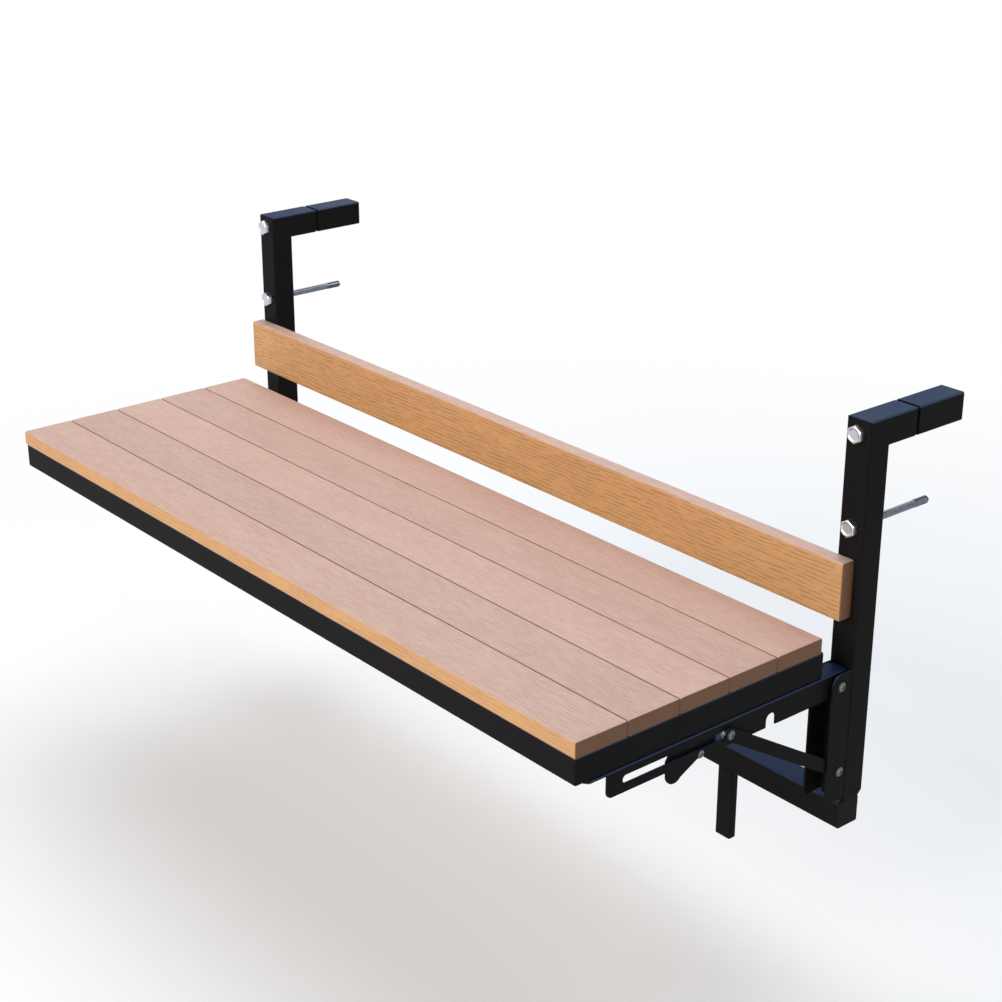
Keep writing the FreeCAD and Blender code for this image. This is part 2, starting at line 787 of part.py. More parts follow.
def make_channel(side, sign):
    body = new_body("hinge_channel_" + side, (upright_x * sign, -tube, pivot_z))
    below, above = size("channel_below_pivot"), size("channel_above_pivot")
    reach = size("channel_reach")
    web_height = below - size("channel_web_below_pivot")
    half = half_tube
    pad(body, "Z", -below, web_height, rectangle(-half, -sheet_thick, half, 0))
    outline = rectangle(-reach, -below, 0, above)
    pad(body, "X", -half, sheet_thick, outline)
    pad(body, "X", half - sheet_thick, sheet_thick, outline)
    round_edges(body, size("channel_round"), corner_edges("X", (-reach, above)))
    round_edges(body, size("channel_foot_round"), corner_edges("X", (-reach, -below)))
    pivot = (-size("pivot_ahead"), 0)
    strut_pivot = (strut_back - size("pivot_ahead"), -strut_drop)
    cut(body, "X", -half, tube, circles(pin_hole, pivot, strut_pivot))


def make_pivot_pins():
    radius = SIZES["pin_radius"]
    head = button(SIZES["pin_head_radius"], SIZES["pin_head_height"])
    half = half_tube.value
    profile = [(0, -half), (radius, -half), (radius, half)] + [(r, half + d) for r, d in head]
    for label, y, z in (
        ("top_pivot_pins", pivot_y, pivot_z),
        ("lower_pivot_pins", pivot_y + strut_back, pivot_z - strut_drop),
    ):
        solids = [
            lathe(profile, (upright_x.value * sign, y.value, z.value), (sign, 0, 0))
            for side, sign in SIDES
        ]
        group(label, solids)


def make_backboard():
    body = new_body("backboard", (0, -tube, board_bottom_z))
    left = end_x + size("board_left_past")
    right = end_x - size("board_right_short")
    pad(body, "X", -left, left + right, rectangle(-size("slat_thick"), 0, 0, size("slat_width")))
    front = -size("slat_thick")
    round_edges(body, size("slat_round"), corner_edges("X", (front, 0), (front, size("slat_width"))))


def make_weld_beads():
    radius, length = SIZES["weld_leg"], SIZES["tube"]
    solids = []
    for side, sign in SIDES:
        corner = FreeCAD.Vector(upright_x.value * sign - length / 2, -length, foot_z.value)
        bead = Part.makeCylinder(radius, length, FreeCAD.Vector(0, 0, 0), FreeCAD.Vector(0, 0, 1), 90)
        # the quarter round faces forwards and up
        bead.Placement = FreeCAD.Placement(
            corner,
            FreeCAD.Rotation(FreeCAD.Vector(0, 0, 1), FreeCAD.Vector(0, -1, 0), FreeCAD.Vector(1, 0, 0), "ZXY"),
        )
        solids.append(bead)
    group("weld_beads", solids)


# The bolts.


def make_bolt(label, place, shank):
    """A hex flange bolt along its own Y axis whose flange bears on the plane Y = 0."""
    body = new_body(label, place)
    radius, thick = size("bolt_flange_radius"), size("bolt_flange_thick")
    turn(body, [(0, -thick), (radius, -thick), (radius, 0)] + shank)
    pad(body, "Y", -(thick + size("bolt_head_height")), size("bolt_head_height"), hexagon(size("bolt_head_flats")))


def make_bolts():
    radius = size("bolt_radius")
    shank_radius = size("clamp_shank_radius")
    for side, sign in SIDES:
        x = upright_x * sign
        length = size("upper_bolt_length")
        make_bolt("upper_bolt_" + side, (x, -tube, hook_middle_z), [(radius, 0), (radius, length), (0, length)])
        length = tube + size("clamp_bolt_reach")
        shank = [(radius, 0), (radius, tube), (shank_radius, tube), (shank_radius, length), (0, length)]
        make_bolt("lower_bolt_" + side, (x, -tube, 0), shank)


make_slats()
make_rails()
make_straps()
make_screws()
make_latch_rivets()
make_crossbar()
make_pivot_pins()
make_backboard()
make_weld_beads()
make_bolts()
for side_name, side_sign in SIDES:
    make_side_bracket(side_name, side_sign)
    make_strut(side_name, side_sign)
    make_slider(side_name, side_sign)
    make_lever(side_name, side_sign)
    make_upright(side_name, side_sign)
    make_arm(side_name, side_sign)
    make_channel(side_name, side_sign)

document.recompute()
for thing in document.Objects:
    if "Invalid" in thing.State or "Error" in thing.State:
        raise ValueError("%s did not compute: %s" % (thing.Label, thing.State))
for part in parts:
    if part.Shape.isNull() or not part.Shape.isValid():
        raise ValueError("%s has no valid shape" % part.Label)

os.makedirs("parts", exist_ok=True)
for part in parts:
    part.Shape.exportStep("parts/%s.step" % part.Label)
print("exported", len(parts), "nodes")
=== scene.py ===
"""Looks of the balcony railing bar table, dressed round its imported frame."""

import logging
import math
from dataclasses import dataclass
from enum import Enum
from typing import Callable, Mapping, Sequence, Union

import bmesh
import bpy
from mathutils import Matrix, Vector


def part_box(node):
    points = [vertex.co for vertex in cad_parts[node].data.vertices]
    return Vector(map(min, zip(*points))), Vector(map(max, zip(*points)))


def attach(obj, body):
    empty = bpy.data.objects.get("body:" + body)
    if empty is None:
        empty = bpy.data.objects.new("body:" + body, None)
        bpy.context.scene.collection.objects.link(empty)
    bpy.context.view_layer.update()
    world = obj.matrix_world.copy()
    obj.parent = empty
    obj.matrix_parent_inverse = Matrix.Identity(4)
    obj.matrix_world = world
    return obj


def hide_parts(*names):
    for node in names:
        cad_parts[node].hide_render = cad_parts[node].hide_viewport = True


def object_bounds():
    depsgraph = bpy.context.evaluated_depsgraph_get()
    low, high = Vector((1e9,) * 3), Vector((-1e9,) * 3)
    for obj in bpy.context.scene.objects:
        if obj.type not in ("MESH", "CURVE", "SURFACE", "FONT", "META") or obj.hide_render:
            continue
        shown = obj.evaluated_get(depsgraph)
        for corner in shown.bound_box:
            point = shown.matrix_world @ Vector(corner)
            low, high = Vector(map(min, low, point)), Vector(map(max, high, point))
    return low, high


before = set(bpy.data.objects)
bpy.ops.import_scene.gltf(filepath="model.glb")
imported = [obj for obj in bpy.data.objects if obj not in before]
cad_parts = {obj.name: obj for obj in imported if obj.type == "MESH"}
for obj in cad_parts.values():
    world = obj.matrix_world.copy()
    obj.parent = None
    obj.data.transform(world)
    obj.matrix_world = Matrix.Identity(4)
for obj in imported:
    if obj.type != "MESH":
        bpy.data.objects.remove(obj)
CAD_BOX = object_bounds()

log = logging.getLogger("bar_table")

MM = 0.001
NEAR = 0.05 * MM  # what lies this close to a level counts as on it
OVERLAP = 0.1 * MM  # how far a shank reaches into its head
STRAIGHT = 0.99  # how much of a way has to lie on an axis for it to count as straight
MERGE = 0.002 * MM  # corners of a solid that lie this close are one
SEAM = 0.001 * MM  # corners of a coil's neighbouring steps that lie this close are one
FLAT = math.radians(0.5)  # faces that bend less than this from one another are one
X, Y, Z = range(3)
Colour = tuple[float, float, float]
Spot = tuple[float, float, float]
Levels = tuple[float, float]
Test = Callable[[Vector, Vector], bool]
Material = bpy.types.Material
Socket = bpy.types.NodeSocket


def along(axis: int) -> Test:
    """Make a test for edges that run along an axis."""
    return lambda at, way: abs(way[axis]) > STRAIGHT


def at_level(axis: int, level: float) -> Test:
    """Make a test for edges whose middle lies at a level of an axis."""
    return lambda at, way: abs(at[axis] - level) < NEAR


def lies_level(at: Vector, way: Vector) -> bool:
    """Tell whether an edge lies level."""
    return abs(way.z) < 1 - STRAIGHT


def looks_up(at: Vector, way: Vector) -> bool:
    """Tell whether a face looks straight up."""
    return way.z > STRAIGHT


class Side(Enum):
    """The two ends of the table, with the sign of X on each."""

    LEFT = -1
    RIGHT = 1

    @property
    def word(self) -> str:
        """The side's name as the frame's nodes spell it."""
        return self.name.lower()


class Lie(Enum):
    """Which way a board's pressed face looks: the axis, and the end of the board's box on it."""

    FLAT = (Z, 1)
    UPRIGHT = (Y, 0)


class Keep(Enum):
    """What a cut leaves of a piece: what lies inside the other piece, or outside it."""

    INSIDE = "INTERSECT"
    OUTSIDE = "DIFFERENCE"


class Slot(Enum):
    """The record's material slots."""

    WOOD = "slat_wood"
    STEEL = "black_steel"
    ZINC = "zinc_steel"
    PLASTIC = "black_plastic"


def rgb(red: int, green: int, blue: int) -> Colour:
    """Turn a colour as it is seen into the linear one that Blender counts in.

    Args:
        red: Red, 0 to 255.
        green: Green, 0 to 255.
        blue: Blue, 0 to 255.

    Returns:
        The linear colour, each part from 0 to 1.
    """

    def linear(part: int) -> float:
        """Undo the screen's curve for one part."""
        share = part / 255
        return share / 12.92 if share <= 0.04045 else ((share + 0.055) / 1.055) ** 2.4

    return linear(red), linear(green), linear(blue)


class Reading:
    """A number read off the surface; arithmetic on it adds Math nodes to its material."""

    def __init__(self, paint: "Paint", socket: Socket) -> None:
        """Keep the material under work and the socket that gives the number."""
        self.paint = paint
        self.socket = socket

    def math(self, operation: str, *terms: "Term") -> "Reading":
        """Add one Math node.

        Args:
            operation: The node's operation.
            terms: Its inputs, in order.

        Returns:
            The node's result.
        """
        node = self.paint.node("ShaderNodeMath", {"operation": operation}, dict(enumerate(terms)))
        return Reading(self.paint, node.outputs[0])

    def __add__(self, other: "Term") -> "Reading":
        """This plus the other."""
        return self.math("ADD", self, other)

    def __radd__(self, other: "Term") -> "Reading":
        """The other plus this."""
        return self.math("ADD", other, self)

    def __sub__(self, other: "Term") -> "Reading":
        """This less the other."""
        return self.math("SUBTRACT", self, other)

    def __rsub__(self, other: "Term") -> "Reading":
        """The other less this."""
        return self.math("SUBTRACT", other, self)

    def __mul__(self, other: "Term") -> "Reading":
        """This times the other."""
        return self.math("MULTIPLY", self, other)

    def __rmul__(self, other: "Term") -> "Reading":
        """The other times this."""
        return self.math("MULTIPLY", other, self)

    def wave(self) -> "Reading":
        """A wave from 0 to 1 that comes round once as this grows by a full turn, in radians."""
        return self.math("SINE", self) * 0.5 + 0.5

    def swing(self, amount: float) -> "Reading":
        """How far this noise is from its middle, 0.5, times an amount."""
        return (self - 0.5) * amount

    def size(self) -> "Reading":
        """This without its sign."""
        return self.math("ABSOLUTE", self)

    def most(self, other: "Term") -> "Reading":
        """The larger of this and the other."""
        return self.math("MAXIMUM", self, other)

    def ramp(self, low: float, high: float) -> "Reading":
        """Go smoothly from 0 at one level to 1 at another.

        Args:
            low: The level that gives 0.
            high: The level that gives 1.

        Returns:
            The eased share.
        """
        settings = {"interpolation_type": "SMOOTHSTEP"}
        inputs = {"Value": self, "From Min": low, "From Max": high, "To Min": 0.0, "To Max": 1.0}
        return Reading(self.paint, self.paint.node("ShaderNodeMapRange", settings, inputs).outputs[0])


Term = Union[Reading, float]
Feed = Union[Reading, Socket, float, Sequence[float]]


class Paint:
    """A material under work: it lays nodes and ends in a Principled surface."""

    def __init__(self, name: str) -> None:
        """Start an empty material.

        Args:
            name: Its name.
        """
        self.material = bpy.data.materials.new(name)
        self.material.use_nodes = True
        self.start(self.material.node_tree)

    @classmethod
    def over(cls, tree: bpy.types.NodeTree) -> "Paint":
        """Work on a node tree that isn't a material's.

        Args:
            tree: The node tree.

        Returns:
            The work, begun.
        """
        paint = cls.__new__(cls)
        paint.start(tree)
        return paint

    def start(self, tree: bpy.types.NodeTree) -> None:
        """Clear a tree and read the surface's place.

        Args:
            tree: The node tree.
        """
        self.tree = tree
        tree.nodes.clear()
        self.place = self.node("ShaderNodeTexCoord", {}, {}).outputs

    def node(
        self, kind: str, settings: Mapping[str, object], inputs: Mapping[Union[int, str], Feed]
    ) -> bpy.types.Node:
        """Lay one node.

        Args:
            kind: The node's type.
            settings: Its settings, set before its inputs.
            inputs: A value or a link for each input, by name or number.

        Returns:
            The node.
        """
        made = self.tree.nodes.new(kind)
        for setting, value in settings.items():
            setattr(made, setting, value)
        for key, feed in inputs.items():
            socket = made.inputs[key]
            source = feed.socket if isinstance(feed, Reading) else feed
            if isinstance(source, Socket):
                self.tree.links.new(source, socket)
            else:
                socket.default_value = source
        return made

    def parts(self, vector: Socket) -> tuple[Reading, Reading, Reading]:
        """Split a vector.

        Args:
            vector: The vector's socket.

        Returns:
            Its three parts.
        """
        outputs = self.node("ShaderNodeSeparateXYZ", {}, {"Vector": vector}).outputs
        return Reading(self, outputs[0]), Reading(self, outputs[1]), Reading(self, outputs[2])

    def axes(self) -> tuple[Reading, Reading, Reading]:
        """The surface's place in metres, in the frame's own axes."""
        return self.parts(self.place["Object"])

    def facing(self) -> tuple[Reading, Reading, Reading]:
        """The surface's outward way, in the piece's own axes."""
        return self.parts(self.place["Normal"])

    def vector(self, x: Term, y: Term, z: Term) -> Socket:
        """Join three numbers into a vector."""
        return self.node("ShaderNodeCombineXYZ", {}, {0: x, 1: y, 2: z}).outputs[0]

    def noise(self, at: Socket, scale: float = 1.0, detail: float = 2.0, rough: float = 0.5) -> Reading:
        """Read a cloud of soft noise.

        Args:
            at: Where it is read.
            scale: Lumps to a unit.
            detail: Finer layers added to it.
            rough: How strong the finer layers are.

        Returns:
            A level around 0.5.
        """
        settings = {"noise_dimensions": "3D"}
        inputs = {"Vector": at, "Scale": scale, "Detail": detail, "Roughness": rough}
        return Reading(self, self.node("ShaderNodeTexNoise", settings, inputs).outputs[0])

    def blend(self, share: Term, first: Union[Socket, Colour], second: Union[Socket, Colour]) -> Socket:
        """Mix two colours.

        Args:
            share: How much of the second, 0 to 1.
            first: A colour or a link.
            second: A colour or a link.

        Returns:
            The mixed colour's socket.
        """
        settings = {"data_type": "RGBA", "blend_type": "MIX", "clamp_factor": True}
        made = self.node("ShaderNodeMix", settings, {0: share})
        for socket, feed in ((made.inputs[6], first), (made.inputs[7], second)):
            if isinstance(feed, Socket):
                self.tree.links.new(feed, socket)
            else:
                socket.default_value = (*feed, 1.0)
        return made.outputs[2]

    def bump(self, height: Reading, strength: float, depth: float) -> Socket:
        """Raise the surface a little.

        Args:
            height: The relief, 0 to 1.
            strength: How strongly it shows.
            depth: What a height of 1 stands for, in metres.

        Returns:
            The bent normal's socket.
        """
        inputs = {"Strength": strength, "Distance": depth, "Height": height}
        return self.node("ShaderNodeBump", {}, inputs).outputs[0]

    def seal(self, inputs: Mapping[str, Feed]) -> Material:
        """End the material in a Principled surface.

        Args:
            inputs: Values or links for the surface's sockets.

        Returns:
            The finished material.
        """
        surface = self.node("ShaderNodeBsdfPrincipled", {}, inputs)
        self.node("ShaderNodeOutputMaterial", {}, {"Surface": surface.outputs[0]})
        return self.material


@dataclass(frozen=True)
class Cloud:
    """Soft noise over a surface: its lumps to a metre, its detail, and how rough that is."""

    lumps: float
    detail: float
    rough: float = 0.5

    def read(self, paint: Paint) -> Reading:
        """Read the noise at the surface's own place."""
        return paint.noise(paint.place["Object"], self.lumps, self.detail, self.rough)


@dataclass(frozen=True)
class Streaks:
    """Noise drawn out along a board: its lumps to a metre each way, its offset and its detail."""

    along: float
    across: float
    offset: float
    detail: float

    def read(self, paint: Paint, along: Reading, across: Reading, shift: float) -> Reading:
        """Read the noise off one board.

        Args:
            paint: The board's material under work.
            along: The place along the board, in metres.
            across: The place across it, in metres.
            shift: How far its grain is moved on from its neighbour's.

        Returns:
            A level around 0.5.
        """
        at = paint.vector(along * self.along, across * self.across, shift + self.offset)
        return paint.noise(at, detail=self.detail)


@dataclass(frozen=True)
class PressedWood:
    """Wood and plastic board with a wood grain pressed into it."""

    pale: Colour = rgb(199, 150, 98)
    deep: Colour = rgb(146, 103, 68)
    # Paler, pinker colours of upward faces: a painted bluish sky sheen.
    pale_top: Colour = rgb(198, 164, 149)
    deep_top: Colour = rgb(160, 122, 108)
    cut_end: Colour = rgb(110, 72, 42)
    cut_end_shade: float = 0.7
    cut_end_lumps: tuple[float, float] = (300.0, 900.0)
    cut_end_detail: float = 3.0
    speck_levels: Levels = (0.3, 0.75)
    speck_share: float = 0.45
    speck_relief: float = 0.3
    # Painted shade: inside the gaps between the slats, their long sides darken to this joint colour.
    joint: Colour = rgb(150, 118, 110)
    joint_row: tuple[float, float] = (-460.5 * MM, -84.0 * MM)
    joint_blur: float = 1.0 * MM
    end_levels: Levels = (0.4, 0.8)
    top_levels: Levels = (0.35, 0.9)
    side_levels: Levels = (0.5, 0.95)
    line_spacing: float = 5.2 * MM
    line_levels: Levels = (0.2, 1.0)
    sweep: Streaks = Streaks(7.0, 16.0, 0.0, 1.0)
    sweep_turns: float = 1.7
    wobble: Streaks = Streaks(34.0, 75.0, 5.3, 2.0)
    wobble_turns: float = 0.95
    dash: Streaks = Streaks(50.0, 190.0, 0.0, 2.0)
    dash_levels: Levels = (0.37, 0.57)
    fibre: Streaks = Streaks(80.0, 1100.0, 3.1, 3.0)
    fibre_share: float = 0.5
    fibre_relief: float = 0.2
    fibre_roughness: float = 0.18
    cloud: Streaks = Streaks(9.0, 30.0, 7.7, 3.0)
    cloud_share: float = 0.5
    least_share: float = 0.1
    roughness: float = 0.52
    grain_roughness: float = 0.1
    gloss_index: float = 1.45
    relief: float = 0.35 * MM
    relief_strength: float = 0.6
    top_grain: float = 0.26

    def material(self, name: str, shift: float, tone: float, side_grain: float) -> Material:
        """Make the material of one board.

        Args:
            name: The material's name.
            shift: How far its grain is moved on from its neighbour's.
            tone: Its own brightness, 1 for the usual.
            side_grain: How dark the grain is on upright faces.

        Returns:
            The material.
        """
        paint = Paint(name)
        x, y, z = paint.axes()
        sweep, wobble, dash, fibre, cloud = (
            streaks.read(paint, x, y + z, shift)
            for streaks in (self.sweep, self.wobble, self.dash, self.fibre, self.cloud)
        )
        bend = sweep * (math.tau * self.sweep_turns) + wobble * (math.tau * self.wobble_turns)
        lines = ((y + z) * (math.tau / self.line_spacing) + bend).wave()
        grain = lines.ramp(*self.line_levels) * dash.ramp(*self.dash_levels)
        lumps, fine_lumps = self.cut_end_lumps
        at = paint.vector(x * lumps, y * fine_lumps, z * fine_lumps)
        speck = paint.noise(at, detail=self.cut_end_detail)

        end_way, side_way, up = paint.facing()
        end = end_way.size().ramp(*self.end_levels)
        top = up.ramp(*self.top_levels)
        # Painted shade in the gaps: long side faces between the front and rear slat edges darken towards
        # the joint colour.
        front, rear = self.joint_row
        inner = (y - front).ramp(0.0, self.joint_blur) * (rear - y).ramp(0.0, self.joint_blur)
        joint = side_way.size().ramp(*self.side_levels) * inner

        # Upward faces blend to the top colours, a painted sky sheen.
        pale = paint.blend(top, self.toned(self.pale, tone), self.toned(self.pale_top, tone))
        deep = paint.blend(top, self.toned(self.deep, tone), self.toned(self.deep_top, tone))
        drawn = grain * (side_grain + top * (self.top_grain - side_grain))
        share = drawn + cloud.swing(self.cloud_share) + fibre.swing(self.fibre_share) + self.least_share
        face = paint.blend(joint, paint.blend(share, pale, deep), self.joint)
        shaded_end = self.toned(self.cut_end, self.cut_end_shade)
        specks = speck.ramp(*self.speck_levels) * self.speck_share
        ends = paint.blend(specks, self.cut_end, shaded_end)
        height = (1.0 - end) * (fibre * self.fibre_relief - grain) + end * (speck * self.speck_relief)
        return paint.seal({
            "Base Color": paint.blend(end, face, ends),
            "Roughness": (
                self.roughness + fibre.swing(self.fibre_roughness) + grain * self.grain_roughness
            ),
            "IOR": self.gloss_index,
            "Normal": paint.bump(height, self.relief_strength, self.relief),
        })

    @staticmethod
    def toned(colour: Colour, tone: float) -> Colour:
        """Brighten or darken a colour."""
        return tuple(part * tone for part in colour)


@dataclass(frozen=True)
class BlackPowderCoat:
    """Black satin powder coat on steel, with a painted bluish sky reflection on what looks up."""

    colour: Colour = (0.0092, 0.0082, 0.0085)
    worn: Colour = (0.0130, 0.0114, 0.0117)
    # Painted sky reflection: upward faces blend to this navy colour, patchy with the cloud.
    dust: Colour = (0.0125, 0.0290, 0.0720)
    dust_levels: Levels = (0.08, 0.35)
    least_dust: float = 0.8
    cloud_dust: float = 0.4
    roughness: float = 0.42
    cloud_roughness: float = 0.16
    peel_roughness: float = 0.1
    gloss: float = 0.025
    sheen: float = 0.45
    sheen_roughness: float = 0.35
    sheen_colour: Colour = (0.72, 0.84, 1.0)
    sheen_starts: Levels = (0.15, 0.45)
    sheen_ends: Levels = (0.85, 0.98)
    peel: Cloud = Cloud(620.0, 2.0, 0.45)
    peel_depth: float = 0.06 * MM
    peel_strength: float = 0.35
    cloud: Cloud = Cloud(9.0, 3.0)
    cloud_levels: Levels = (0.35, 0.8)
    cloud_wear: float = 0.5
    specks: Cloud = Cloud(2600.0, 1.0)
    speck_levels: Levels = (0.62, 0.8)
    speck_wear: float = 0.3

    def material(self, name: str) -> Material:
        """Make the coat's material.

        Args:
            name: The material's name.

        Returns:
            The material.
        """
        paint = Paint(name)
        peel, cloud, specks = (noise.read(paint) for noise in (self.peel, self.cloud, self.specks))
        _, _, up = paint.facing()
        # Painted sky reflection on upward faces, varied by the cloud.
        reflected_sky = up.ramp(*self.dust_levels) * (self.least_dust + cloud * self.cloud_dust)
        rubbed = cloud.ramp(*self.cloud_levels) * self.cloud_wear
        wear = rubbed + specks.ramp(*self.speck_levels) * self.speck_wear
        rounding = up.ramp(*self.sheen_starts) * (1.0 - up.ramp(*self.sheen_ends))
        return paint.seal({
            "Base Color": paint.blend(reflected_sky, paint.blend(wear, self.colour, self.worn), self.dust),
            "Roughness": (
                self.roughness + cloud.swing(self.cloud_roughness) + peel.swing(self.peel_roughness)
            ),
            "Specular IOR Level": self.gloss,
            "Coat Weight": rounding * self.sheen,
            "Coat Roughness": self.sheen_roughness,
            "Coat Tint": (*self.sheen_colour, 1.0),
            "Normal": paint.bump(peel, self.peel_strength, self.peel_depth),
        })


@dataclass(frozen=True)
class ZincPlate:
    """Zinc plate: bright on bolts and screws, dull on rivets."""

    colour: Colour = (0.62, 0.64, 0.69)
    dull: Colour = (0.38, 0.39, 0.43)
    roughness: float = 0.30
    # Painted shade: sloped faces, such as a rivet's flanks and dimple, darken by this share towards a
    # darker copy of the dull colour.
    grime: float = 0.0
    grime_shade: float = 0.25
    slope_levels: Levels = (0.02, 0.2)
    bloom: Cloud = Cloud(170.0, 3.0)
    bloom_levels: Levels = (0.4, 0.75)
    bloom_share: float = 0.6
    bloom_roughness: float = 0.22
    scratch: Cloud = Cloud(1900.0, 2.0)
    scratch_roughness: float = 0.08
    scratch_depth: float = 0.03 * MM
    scratch_strength: float = 0.2

    def material(self, name: str) -> Material:
        """Make the plate's material.

        Args:
            name: The material's name.

        Returns:
            The material.
        """
        paint = Paint(name)
        bloom, scratch = (noise.read(paint) for noise in (self.bloom, self.scratch))
        outwards, _, _ = paint.facing()
        # Painted shade on faces that slope away from the piece's X axis.
        slope = (1.0 - outwards.size()).ramp(*self.slope_levels) * self.grime
        plate = paint.blend(bloom.ramp(*self.bloom_levels) * self.bloom_share, self.colour, self.dull)
        grime = tuple(part * self.grime_shade for part in self.dull)
        return paint.seal({
            "Base Color": paint.blend(slope, plate, grime),
            "Metallic": 1.0,
            "Roughness": (
                self.roughness + bloom.swing(self.bloom_roughness)
                + scratch.swing(self.scratch_roughness)
            ),
            "Normal": paint.bump(scratch, self.scratch_strength, self.scratch_depth),
        })


@dataclass(frozen=True)
class BlackPlastic:
    """Moulded black plastic of the tube caps."""

    colour: Colour = (0.0075, 0.0072, 0.0076)
    pale_share: float = 1.6
    roughness: float = 0.48
    gloss: float = 0.04
    cloud: Cloud = Cloud(40.0, 2.0)
    spark: Cloud = Cloud(1500.0, 2.0)
    spark_roughness: float = 0.2
    spark_depth: float = 0.05 * MM
    spark_strength: float = 0.4

    def material(self, name: str) -> Material:
        """Make the plastic's material.

        Args:
            name: The material's name.

        Returns:
            The material.
        """
        paint = Paint(name)
        spark, cloud = (noise.read(paint) for noise in (self.spark, self.cloud))
        pale = tuple(part * self.pale_share for part in self.colour)
        return paint.seal({
            "Base Color": paint.blend(cloud, self.colour, pale),
            "Roughness": self.roughness + spark.swing(self.spark_roughness),
            "Specular IOR Level": self.gloss,
            "Normal": paint.bump(spark, self.spark_strength, self.spark_depth),
        })


@dataclass
class Finishes:
    """The finishes that several pieces share."""

    coat: Material
    zinc: Material
    rivet: Material
    dish: Material
    shank: Material
    plastic: Material
    wood: PressedWood = PressedWood()

    @classmethod
    def mix(cls) -> "Finishes":
        """Make every shared finish.

        Returns:
            The finishes.
        """
        # The rivets' finish has painted shade on its sloped flanks.
        dull = ZincPlate(colour=(0.24, 0.25, 0.235), dull=(0.13, 0.135, 0.13), roughness=0.32, grime=0.9)
        dish = ZincPlate(colour=(0.58, 0.61, 0.69), dull=(0.45, 0.475, 0.54), roughness=0.34)
        shank = ZincPlate(colour=(0.15, 0.17, 0.205), dull=(0.07, 0.08, 0.10), roughness=0.17)
        return cls(
            coat=BlackPowderCoat().material("black_powder_coat"),
            zinc=ZincPlate().material("bright_zinc"),
            rivet=dull.material("dull_zinc"),
            dish=dish.material("dish_zinc"),
            shank=shank.material("shank_zinc"),
            plastic=BlackPlastic().material("black_plastic"),
        )


def deselect() -> None:
    """Leave edit mode and deselect everything."""
    if bpy.context.object and bpy.context.object.mode != "OBJECT":
        bpy.ops.object.mode_set(mode="OBJECT")
    bpy.ops.object.select_all(action="DESELECT")


